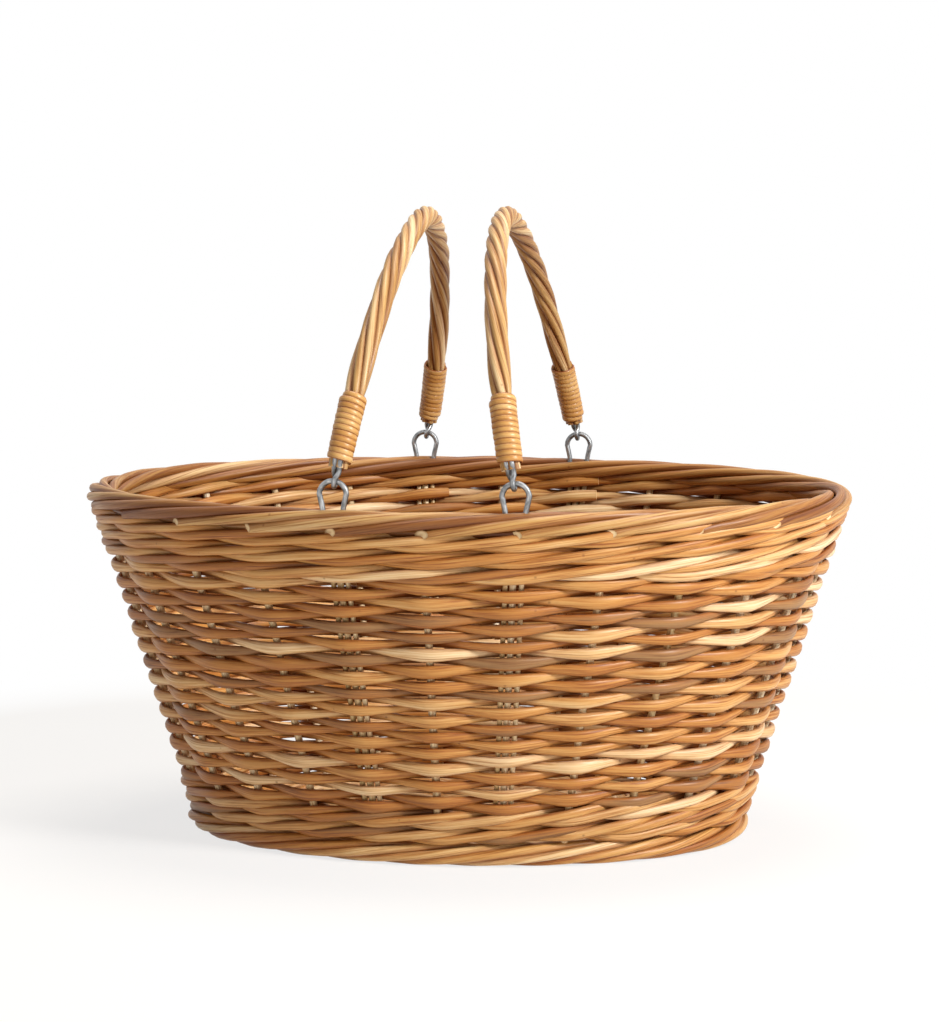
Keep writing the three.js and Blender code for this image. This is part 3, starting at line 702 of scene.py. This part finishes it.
def make_rings():
    bend = np.linspace(0, np.pi, RING_BEND_SAMPLES)
    bottom = BODY_HEIGHT - RING_LEG_DEPTH - HINGE_HEIGHT
    leg = np.linspace(bottom, 0, RING_LEG_SAMPLES, endpoint=False)
    close = smooth(-leg, -RING_EASE, HINGE_HEIGHT - BODY_HEIGHT + RING_EASE)
    drawn_in = RING_RADIUS - (RING_RADIUS - RING_LEG_SPREAD / 2) * close
    out = np.concatenate([drawn_in, RING_RADIUS * np.cos(bend), -drawn_in[::-1]])
    rise = np.concatenate([leg, RING_RADIUS * np.sin(bend), leg[::-1]])
    line = np.stack([out, 0 * out, rise], axis=-1)
    facing = np.broadcast_to(BACKWARDS, line.shape)
    for corner in RING_STAKES:
        node = f"handle_ring_{corner}"
        centre = np.array(middle_mm(node))
        centre[2] = HINGE_HEIGHT
        wire = rod(line + centre, facing, RING_WIRE / 2, RING_WIRE / 2, sides=WIRE_SIDES)
        piece(f"steel_ring_{corner}", [wire], GALVANISED_WIRE, "basket", "steel_wire", node)


# Handles, laid out in their own plane: Y across, Z up from the hinge


def handle_line():
    """Points along a handle from its back butt to its front butt, and the length to each of them."""
    lowest = math.asin((HANDLE_BUTT / HANDLE_REACH) ** (HANDLE_ROUNDNESS / 2))
    angle = np.linspace(lowest, np.pi - lowest, HANDLE_SAMPLES)
    power = 2 / HANDLE_ROUNDNESS
    across = RING_Y * np.sign(np.cos(angle)) * np.abs(np.cos(angle)) ** power
    rise = HANDLE_REACH * np.sin(angle) ** power
    points = np.stack([0 * angle, across, rise], axis=-1)
    gone = np.concatenate([[0], np.cumsum(np.linalg.norm(np.diff(points, axis=0), axis=1))])
    return points, gone


HANDLE_POINTS, HANDLE_GONE = handle_line()
HANDLE_LENGTH = HANDLE_GONE[-1]


def on_handle(distance):
    """Points of the handle's line, with the direction across it in the handle's own plane."""
    centre = np.stack([np.interp(distance, HANDLE_GONE, places) for places in HANDLE_POINTS.T], axis=-1)
    ahead = unit(np.gradient(centre, axis=0))
    return centre, np.cross(SIDEWAYS, ahead)


def around_handle(distance, angle, radius):
    """Points round the line of the handle, with the direction outwards from it."""
    centre, across = on_handle(distance)
    outward = SIDEWAYS * np.cos(angle)[:, None] + across * np.sin(angle)[:, None]
    return centre + outward * np.broadcast_to(radius, angle.shape)[:, None], outward


def handle_strands():
    """Rods laid up into a rope, straighter near the ends, and drawn together under the cane."""
    distance = np.linspace(0, HANDLE_LENGTH, STRAND_SAMPLES)
    neck_end = BARE_BUTT + WRAP_LENGTH
    from_end = np.minimum(distance, HANDLE_LENGTH - distance)
    open_share = smooth(from_end, neck_end - NECK_EASE[0], neck_end + NECK_EASE[1])
    step = HANDLE_LENGTH / (len(distance) - 1)
    arch = np.sin(np.pi * distance / HANDLE_LENGTH) ** LAY_PEAK
    rate = 2 * np.pi * (1 / LEG_LAY + (1 / TOP_LAY - 1 / LEG_LAY) * arch)
    twist = np.cumsum(rate) * step
    outer = (HANDLE_NECK_DIAMETER + (HANDLE_DIAMETER - HANDLE_NECK_DIAMETER) * open_share) / 2
    rods = []
    for strand in range(HANDLE_STRANDS):
        half = STRAND_DIAMETER / 2 * outer / outer.max() * rng.uniform(*STRAND_SIZES)
        radius = outer - half + wander(distance, STRAND_OUT_DRIFT)
        angle = twist + 2 * np.pi * strand / HANDLE_STRANDS + wander(distance, STRAND_TURN_DRIFT)
        line, outward = around_handle(distance, angle, radius)
        # Painted shade on each strand's flanks, in the grooves between strands
        rods.append(rod(line, outward, half, half * STRAND_WIDENING, crease=STRAND_CREASE))
    # The core under the strands, coloured with full painted shade so the grooves read dark
    line, outward = around_handle(distance, 0 * distance, 0 * distance)
    rods.append(rod(line, outward, outer * HANDLE_CORE, outer * HANDLE_CORE, painted_shade=1.0))
    return rods


def wrap_cane():
    """One length of cane wound round the neck, with both ends tucked under."""
    turns = np.linspace(0, WRAP_TURNS, WRAP_TURNS * SAMPLES_PER_TURN + 1)
    pitch = WRAP_LENGTH / (WRAP_TURNS + 1)
    distance = BARE_BUTT + pitch / 2 + turns * pitch
    sunk = 1 - smooth(np.minimum(turns, WRAP_TURNS - turns), 0, CANE_TUCK_TURNS)
    radius = HANDLE_NECK_DIAMETER / 2 + WRAP_TAPER / 2 * turns / WRAP_TURNS + wander(turns, WRAP_DRIFT)
    radius += CANE_THICKNESS * (0.5 - CANE_TUCK * sunk)
    line, outward = around_handle(distance, turns * 2 * np.pi, radius)
    # Painted shade on the edges of each turn, between turns
    return rod(line, outward, CANE_THICKNESS / 2, pitch * CANE_LAP / 2, crease=CANE_CREASE)


def eye_wire():
    """A hairpin hooked under the top of the ring.

    Its legs close up, turn flat and lie on the outside of the butt.
    """
    centre = np.array([0, RING_Y, RING_RADIUS])
    butt = HANDLE_POINTS[np.searchsorted(HANDLE_GONE, EYE_LEG_DEPTH / 2)]
    aim = unit(butt - centre)
    across = np.cross(SIDEWAYS, aim)
    leg_end = np.linalg.norm(HANDLE_POINTS[0] - centre) + EYE_LEG_DEPTH
    leg = np.linspace(leg_end, 0, EYE_SAMPLES, endpoint=False)
    bend = np.linspace(0, np.pi, EYE_SAMPLES)
    spread = EYE_RADIUS + (EYE_SPREAD - EYE_RADIUS) * smooth(leg, 0, leg_end * EYE_CLOSING)
    side = np.concatenate([spread, EYE_RADIUS * np.cos(bend), -spread[::-1]])
    forth = np.concatenate([leg, -EYE_RADIUS * np.sin(bend), leg[::-1]])
    quarter = np.radians(EYE_TWIST) * smooth(forth, 0, leg_end * EYE_TURNING)[:, None]
    outer = EYE_OUT * smooth(forth, 0, leg_end * EYE_LEAVING)[:, None]
    line = centre + aim * forth[:, None] - across * outer
    line += (across * np.cos(quarter) + SIDEWAYS * np.sin(quarter)) * side[:, None]
    facing = SIDEWAYS * np.cos(quarter) - across * np.sin(quarter)
    return rod(line, facing, EYE_WIRE / 2, EYE_WIRE / 2, sides=WIRE_SIDES)


def turned(part, sign, to_front):
    """A handle piece moved from the handle's own plane to where it stands, leaning inwards."""
    points = part["points"].copy()
    if to_front:
        points[:, :2] *= -1
    lean = math.radians(-sign * HANDLE_LEAN)
    along = points[:, 0] * math.cos(lean) + points[:, 2] * math.sin(lean)
    height = -points[:, 0] * math.sin(lean) + points[:, 2] * math.cos(lean)
    placed = np.stack([along + sign * RING_X, points[:, 1], height + HINGE_HEIGHT], axis=-1)
    return {**part, "points": placed}


def make_handles():
    for side, sign in (("left", -1), ("right", 1)):
        body = f"{side}_handle"
        strands = [turned(strand, sign, False) for strand in handle_strands()]
        piece(f"willow_{side}_bow", strands, HANDLE_WILLOW, body, "willow_handle", f"{body}_bow")
        for end in ("back", "front"):
            cane = turned(wrap_cane(), sign, end == "front")
            node = f"{body}_wrap_{end}"
            piece(f"cane_{side}_wrap_{end}", [cane], SPLIT_CANE, body, "cane_wrap", node)
            eye = turned(eye_wire(), sign, end == "front")
            node = f"{body}_eye_{end}"
            piece(f"steel_{side}_eye_{end}", [eye], GALVANISED_WIRE, body, "steel_wire", node)


# Materials. A colour mix takes its share at 0 and its two colours at 6 and 7, and gives the mixture at 2.
# A map range takes a value at 0, its limits at 1 and 2, and what they become at 3 and 4.


def linear(colour):
    """A sRGB hex colour as linear red, green, blue and alpha."""
    shares = [int(colour[at:at + 2], 16) / 255 for at in (1, 3, 5)]
    return [c / 12.92 if c <= 0.04045 else ((c + 0.055) / 1.055) ** 2.4 for c in shares] + [1.0]


def add_node(tree, kind, inputs=None, stops=None, **settings):
    """Adds a node. inputs maps its sockets to values or to the sockets that feed them."""
    made = tree.nodes.new(f"ShaderNode{kind}")
    for name, value in settings.items():
        setattr(made, name, value)
    for socket, value in (inputs or {}).items():
        if isinstance(value, bpy.types.NodeSocket):
            tree.links.new(value, made.inputs[socket])
        else:
            made.inputs[socket].default_value = value
    if stops:
        ramp = made.color_ramp.elements
        while len(ramp) < len(stops):
            ramp.new(1.0)
        for element, (place, colour) in zip(ramp, stops):
            element.position = place
            element.color = linear(colour)
    return made


def new_material(name):
    made = bpy.data.materials.new(name)
    made.use_nodes = True
    made.node_tree.nodes.clear()
    return made, made.node_tree


def per_mm(width, length):
    """The scale of a pattern on a rod that is as wide across and as long along it as given."""
    return (1 / width, 1 / width, 1 / length)


# Real sizes of what shows on a peeled rod. Its fibres are about 0.2 wide, too fine to show here,
# so they are drawn as broader streaks.
STREAK_WIDTH = 0.9
STREAK_LENGTH = 38
STREAK_DEPTH = 0.25
PATCH_WIDTH = 8.3
PATCH_LENGTH = 110
SCAR_SPACING = 12
SCAR_CORE = 0.36
SCAR_EDGE = 1.08
PITH_CORE = 0.35
PITH_EDGE = 0.95
SKIN_INSIDE = 1.7
SKIN_OUTSIDE = 2.6

# How much of the way from the darkest to the palest hue patches and streaks move the stain
PATCH_SHARE = 0.9
STREAK_SHARE = 0.45

# Hues on a peeled rod, and how strongly each of them shows
STREAK_HUES = [(0.3, "#A4683C"), (0.47, "#F2E2D2"), (0.62, "#FFFFFF")]
STREAK_STRENGTH = 0.75
SCAR_HUE = "#6E3A18"
SCAR_STRENGTH = 0.55
CUT_HUE = "#F0D8AC"
PITH_HUE = "#D6B07C"
PITH_STRENGTH = 0.6
SKIN_HUE = "#A87840"
SKIN_STRENGTH = 0.85
# How strongly the shade painted in the weave shows
PAINTED_SHADE_STRENGTH = 0.9

# Most of a noise lies between these values. The roughness of varnish and zinc goes with it.
NOISE_LOW = 0.3
NOISE_HIGH = 0.7
VARNISH_ROUGHNESS = (0.58, 0.4)
ZINC_ROUGHNESS = (0.55, 0.32)


def varnished_willow(name, hues, painted_shade_hue):
    """Buff willow: boiled in its bark, peeled and varnished.

    Tannin from the bark stains each rod a little differently, from straw to fox brown, in long streaks
    along the grain. Small dark scars show where leaves sat, trimmed ends are pale with a darker pith
    and skin, and the thin varnish gives a soft shine. Shade is painted into the colour where rods press
    together and lie deep in the weave.
    """
    material, tree = new_material(name)
    tint = add_node(tree, "Attribute", attribute_name="tint").outputs["Fac"]
    grain = add_node(tree, "Attribute", attribute_name="grain").outputs["Vector"]
    painted_shade = add_node(tree, "Attribute", attribute_name="painted_shade").outputs["Fac"]
    cut = add_node(tree, "Attribute", attribute_name="cut").outputs["Fac"]

    # Streaks and patches move each rod's own tint along the hues of the stain
    scale = per_mm(STREAK_WIDTH, STREAK_LENGTH)
    along = add_node(tree, "VectorMath", {0: grain, 1: scale}, operation="MULTIPLY").outputs[0]
    noise = {"Vector": along, "Scale": 1, "Detail": 3, "Roughness": 0.6}
    streak = add_node(tree, "TexNoise", noise).outputs[0]
    scale = per_mm(PATCH_WIDTH, PATCH_LENGTH)
    wide = add_node(tree, "VectorMath", {0: grain, 1: scale}, operation="MULTIPLY").outputs[0]
    patch = add_node(tree, "TexNoise", {"Vector": wide, "Scale": 1, "Detail": 2}).outputs[0]
    shift = {0: patch, 1: PATCH_SHARE, 2: tint}
    drift = add_node(tree, "Math", shift, operation="MULTIPLY_ADD").outputs[0]
    shift = {0: streak, 1: STREAK_SHARE, 2: drift}
    fine = add_node(tree, "Math", shift, operation="MULTIPLY_ADD").outputs[0]
    shift = {0: fine, 1: (PATCH_SHARE + STREAK_SHARE) / 2}
    place = add_node(tree, "Math", shift, operation="SUBTRACT", use_clamp=True).outputs[0]
    stops = [(at / (len(hues) - 1), hue) for at, hue in enumerate(hues)]
    stain = add_node(tree, "ValToRGB", {"Fac": place}, stops).outputs[0]
    lines = add_node(tree, "ValToRGB", {"Fac": streak}, STREAK_HUES).outputs[0]
    mix = {0: STREAK_STRENGTH, 6: stain, 7: lines}
    lined = add_node(tree, "Mix", mix, data_type="RGBA", blend_type="MULTIPLY").outputs[2]

    # Leaf scars
    scale = per_mm(SCAR_SPACING, SCAR_SPACING)
    spots = add_node(tree, "VectorMath", {0: grain, 1: scale}, operation="MULTIPLY").outputs[0]
    scar = add_node(tree, "TexVoronoi", {"Vector": spots, "Scale": 1}).outputs["Distance"]
    core = SCAR_CORE / SCAR_SPACING
    edge = SCAR_EDGE / SCAR_SPACING
    limits = {0: scar, 1: core, 2: edge, 3: SCAR_STRENGTH, 4: 0.0}
    scarred = add_node(tree, "MapRange", limits).outputs[0]
    mix = {0: scarred, 6: lined, 7: linear(SCAR_HUE)}
    aged = add_node(tree, "Mix", mix, data_type="RGBA").outputs[2]

    # Painted shade, darker where the rod lies deep in the weave, on its flanks and against a stake
    shift = {0: painted_shade, 1: PAINTED_SHADE_STRENGTH}
    painted_shade_share = add_node(tree, "Math", shift, operation="MULTIPLY").outputs[0]
    mix = {0: painted_shade_share, 6: aged, 7: linear(painted_shade_hue)}
    deep = add_node(tree, "Mix", mix, data_type="RGBA", blend_type="MULTIPLY").outputs[2]

    # Trimmed ends
    flat = add_node(tree, "VectorMath", {0: grain, 1: (1, 1, 0)}, operation="MULTIPLY").outputs[0]
    radius = add_node(tree, "VectorMath", {0: flat}, operation="LENGTH").outputs["Value"]
    limits = {0: radius, 1: PITH_CORE, 2: PITH_EDGE, 3: PITH_STRENGTH, 4: 0.0}
    pith = add_node(tree, "MapRange", limits).outputs[0]
    mix = {0: pith, 6: linear(CUT_HUE), 7: linear(PITH_HUE)}
    wood = add_node(tree, "Mix", mix, data_type="RGBA").outputs[2]
    limits = {0: radius, 1: SKIN_INSIDE, 2: SKIN_OUTSIDE, 3: 0.0, 4: SKIN_STRENGTH}
    skin = add_node(tree, "MapRange", limits).outputs[0]
    mix = {0: skin, 6: wood, 7: linear(SKIN_HUE)}
    trimmed = add_node(tree, "Mix", mix, data_type="RGBA").outputs[2]
    colour = add_node(tree, "Mix", {0: cut, 6: deep, 7: trimmed}, data_type="RGBA").outputs[2]

    # Varnish
    dull, shiny = VARNISH_ROUGHNESS
    limits = {0: streak, 1: NOISE_LOW, 2: NOISE_HIGH, 3: dull, 4: shiny}
    rough = add_node(tree, "MapRange", limits).outputs[0]
    relief = {"Strength": 0.35, "Distance": STREAK_DEPTH * MM, "Height": streak}
    bump = add_node(tree, "Bump", relief).outputs[0]
    shader = add_node(tree, "BsdfPrincipled", {
        "Base Color": colour, "Roughness": rough, "Normal": bump, "IOR": 1.5, "Specular IOR Level": 0.36,
        "Coat Weight": 0.12, "Coat Roughness": 0.28,
    })
    add_node(tree, "OutputMaterial", {"Surface": shader.outputs[0]})
    return material


# Real sizes on the skin of rattan. Its pores are about 0.15 wide, too fine to show here,
# so they are drawn about three times as wide.
PORE_WIDTH = 0.45
PORE_LENGTH = 30
PORE_DEPTH = 0.15
TONE_WIDTH = 10
TONE_LENGTH = 55
PORE_SHARE = 0.4
CANE_HUES = [(0.4, "#8A5626"), (0.58, "#BE8844"), (0.75, "#D2A462"), (0.95, "#E4C48C")]
# Hue of the shade painted between the turns of cane
PAINTED_SHADE_CANE = "#9C5E28"


def split_cane():
    """Rattan cane: the skin of the palm, split off and wound on damp.

    It is glossy, even and golden, with fine pores along it and a slow change of tone between turns.
    """
    material, tree = new_material("split_rattan_cane")
    grain = add_node(tree, "Attribute", attribute_name="grain").outputs["Vector"]
    painted_shade = add_node(tree, "Attribute", attribute_name="painted_shade").outputs["Fac"]
    scale = per_mm(PORE_WIDTH, PORE_LENGTH)
    along = add_node(tree, "VectorMath", {0: grain, 1: scale}, operation="MULTIPLY").outputs[0]
    pores = add_node(tree, "TexNoise", {"Vector": along, "Scale": 1, "Detail": 2}).outputs[0]
    scale = per_mm(TONE_WIDTH, TONE_LENGTH)
    wide = add_node(tree, "VectorMath", {0: grain, 1: scale}, operation="MULTIPLY").outputs[0]
    tone = add_node(tree, "TexNoise", {"Vector": wide, "Scale": 1, "Detail": 2}).outputs[0]
    shift = {0: pores, 1: PORE_SHARE, 2: tone}
    mixed = add_node(tree, "Math", shift, operation="MULTIPLY_ADD").outputs[0]
    colour = add_node(tree, "ValToRGB", {"Fac": mixed}, CANE_HUES).outputs[0]
    # Painted shade on the edges of each turn, where it meets the next
    mix = {0: painted_shade, 6: colour, 7: linear(PAINTED_SHADE_CANE)}
    deep = add_node(tree, "Mix", mix, data_type="RGBA", blend_type="MULTIPLY").outputs[2]
    relief = {"Strength": 0.2, "Distance": PORE_DEPTH * MM, "Height": pores}
    bump = add_node(tree, "Bump", relief).outputs[0]
    shader = add_node(tree, "BsdfPrincipled", {
        "Base Color": deep, "Roughness": 0.42, "Normal": bump, "IOR": 1.5, "Specular IOR Level": 0.4,
        "Coat Weight": 0.15, "Coat Roughness": 0.25,
    })
    add_node(tree, "OutputMaterial", {"Surface": shader.outputs[0]})
    return material


# Real sizes of the patches on the zinc
ZINC_WIDTH = 2
ZINC_LENGTH = 4
ZINC_DEPTH = 0.1
ZINC_HUES = [(0.3, "#5F6163"), (0.5, "#8D8F91"), (0.7, "#B4B5B6")]


def galvanised_wire():
    """Galvanised steel wire: drawn, then dipped in hot zinc.

    It is dull grey, with paler and darker patches where it was handled.
    """
    material, tree = new_material("galvanised_steel_wire")
    grain = add_node(tree, "Attribute", attribute_name="grain").outputs["Vector"]
    scale = per_mm(ZINC_WIDTH, ZINC_LENGTH)
    wide = add_node(tree, "VectorMath", {0: grain, 1: scale}, operation="MULTIPLY").outputs[0]
    patch = add_node(tree, "TexNoise", {"Vector": wide, "Scale": 1, "Detail": 4}).outputs[0]
    colour = add_node(tree, "ValToRGB", {"Fac": patch}, ZINC_HUES).outputs[0]
    dull, shiny = ZINC_ROUGHNESS
    limits = {0: patch, 1: NOISE_LOW, 2: NOISE_HIGH, 3: dull, 4: shiny}
    rough = add_node(tree, "MapRange", limits).outputs[0]
    relief = {"Strength": 0.2, "Distance": ZINC_DEPTH * MM, "Height": patch}
    bump = add_node(tree, "Bump", relief).outputs[0]
    shader = add_node(tree, "BsdfPrincipled", {
        "Base Color": colour, "Metallic": 1.0, "Roughness": rough, "Normal": bump,
    })
    add_node(tree, "OutputMaterial", {"Surface": shader.outputs[0]})
    return material


# Stains from the darkest rods to the palest
BUFF_HUES = ["#9E7B50", "#B27838", "#C6904A", "#D5A968", "#E4C48E", "#F0DAB0"]
BORDER_HUES = ["#875626", "#9D6C33", "#B28446", "#C0995D", "#CDAC76", "#D8BD8F"]
GOLD_HUES = ["#96703C", "#B28A50", "#C6A46A", "#D6BA88", "#E4CFA6"]
WHITE_HUES = ["#D8C08E", "#E6D2A6", "#EFE0BC", "#F5EACE", "#FAF2DE"]
# Hues of the shade painted where rods lie deep in the weave
PAINTED_SHADE_BUFF = "#A8601E"
PAINTED_SHADE_GOLD = "#A06226"
PAINTED_SHADE_WHITE = "#B98E58"
STAKE_WILLOW = varnished_willow("varnished_willow_stakes", WHITE_HUES, PAINTED_SHADE_WHITE)
SIDING_WILLOW = varnished_willow("varnished_willow_siding", BUFF_HUES, PAINTED_SHADE_BUFF)
WALE_WILLOW = varnished_willow("varnished_willow_waling", BUFF_HUES, PAINTED_SHADE_BUFF)
BORDER_WILLOW = varnished_willow("varnished_willow_border", BORDER_HUES, PAINTED_SHADE_BUFF)
BASE_WILLOW = varnished_willow("varnished_willow_base", BUFF_HUES, PAINTED_SHADE_BUFF)
HANDLE_WILLOW = varnished_willow("varnished_willow_handle", GOLD_HUES, PAINTED_SHADE_GOLD)
SPLIT_CANE = split_cane()
GALVANISED_WIRE = galvanised_wire()


# Camera, light and floor. A lamp has its place, its power in watts, its width and its colour.
# The floor is lifted towards white near the basket, and fades to white between two distances from it.

CAMERA_PLACE = (254, -1744, 389)
CAMERA_AIM = (2, 0, 192)
CAMERA_LENS = 104
LAMPS = {
    "key_high_on_the_right": ((1300, -750, 1000), 33, 380, "#FFFDFA"),
    "soft_box_overhead": ((100, 200, 1700), 21, 900, "#FFF8EE"),
    "fill_from_the_front": ((-300, -1900, 130), 4, 700, "#FFE9CF"),
}
ROOM_LIGHT = 0.13
ROOM_HUE = "#FFE6C8"
FLOOR_HUE = "#F7F5F2"
FLOOR_HALF = 6000
FLOOR_CLEAR = (220, 620)
FLOOR_LIFT = 0.76
WHITE = (1, 1, 1, 1)


def look_from(thing, place, aim):
    """Stands a camera or a lamp at a place and turns it to what it aims at."""
    place = np.array(place) * MM
    aim = np.array(aim) * MM
    thing.location = place
    thing.rotation_mode = "QUATERNION"
    thing.rotation_quaternion = Vector(aim - place).to_track_quat("-Z", "Y")
    bpy.context.scene.collection.objects.link(thing)


def make_camera():
    lens = bpy.data.cameras.new("camera")
    lens.lens = CAMERA_LENS
    camera = bpy.data.objects.new("camera", lens)
    look_from(camera, CAMERA_PLACE, CAMERA_AIM)
    bpy.context.scene.camera = camera


def make_lamps():
    for name, (place, power, size, colour) in LAMPS.items():
        light = bpy.data.lights.new(name, "AREA")
        light.energy = power
        light.size = size * MM
        light.color = linear(colour)[:3]
        look_from(bpy.data.objects.new(name, light), place, (0, 0, BODY_HEIGHT))


def seen_directly(tree):
    """1 for rays from the camera, a mirror or glass, which see the white studio, and 0 for the others."""
    path = add_node(tree, "LightPath").outputs
    rays = {0: path["Is Glossy Ray"], 1: path["Is Transmission Ray"]}
    shiny = add_node(tree, "Math", rays, operation="MAXIMUM").outputs[0]
    rays = {0: path["Is Camera Ray"], 1: shiny}
    return add_node(tree, "Math", rays, operation="MAXIMUM").outputs[0]


def make_world():
    world = bpy.data.worlds.new("studio")
    bpy.context.scene.world = world
    world.use_nodes = True
    tree = world.node_tree
    tree.nodes.clear()
    soft = add_node(tree, "Background", {"Color": linear(ROOM_HUE), "Strength": ROOM_LIGHT}).outputs[0]
    white = add_node(tree, "Background", {"Color": WHITE, "Strength": 1.0}).outputs[0]
    mixed = add_node(tree, "MixShader", {0: seen_directly(tree), 1: soft, 2: white}).outputs[0]
    add_node(tree, "OutputWorld", {"Surface": mixed})


def make_floor():
    """A pale matt floor that keeps the shadow near the basket and fades to white further off."""
    mesh = bpy.data.meshes.new("floor")
    half = FLOOR_HALF * MM
    corners = [(-half, -half, 0), (half, -half, 0), (half, half, 0), (-half, half, 0)]
    mesh.from_pydata(corners, [], [(0, 1, 2, 3)])
    floor = bpy.data.objects.new("floor", mesh)
    bpy.context.scene.collection.objects.link(floor)
    material, tree = new_material("pale_floor")
    place = add_node(tree, "NewGeometry").outputs["Position"]
    distance = add_node(tree, "VectorMath", {0: place}, operation="LENGTH").outputs["Value"]
    limits = {0: distance, 1: FLOOR_CLEAR[0] * MM, 2: FLOOR_CLEAR[1] * MM}
    far = add_node(tree, "MapRange", limits, interpolation_type="SMOOTHSTEP").outputs[0]
    near = add_node(tree, "Math", {0: far, 1: FLOOR_LIFT}, operation="MAXIMUM").outputs[0]
    share = add_node(tree, "Math", {0: near, 1: seen_directly(tree)}, operation="MULTIPLY").outputs[0]
    matt = add_node(tree, "BsdfDiffuse", {"Color": linear(FLOOR_HUE)}).outputs[0]
    white = add_node(tree, "Emission", {"Color": WHITE, "Strength": 1.0}).outputs[0]
    mixed = add_node(tree, "MixShader", {0: share, 1: matt, 2: white}).outputs[0]
    add_node(tree, "OutputMaterial", {"Surface": mixed})
    mesh.materials.append(material)


make_camera()
make_world()
make_floor()
make_lamps()
make_foot()
make_base()
make_stakes()
make_wales()
make_siding()
make_border()
make_rings()
make_handles()
bpy.context.scene.view_settings.view_transform = "Standard"
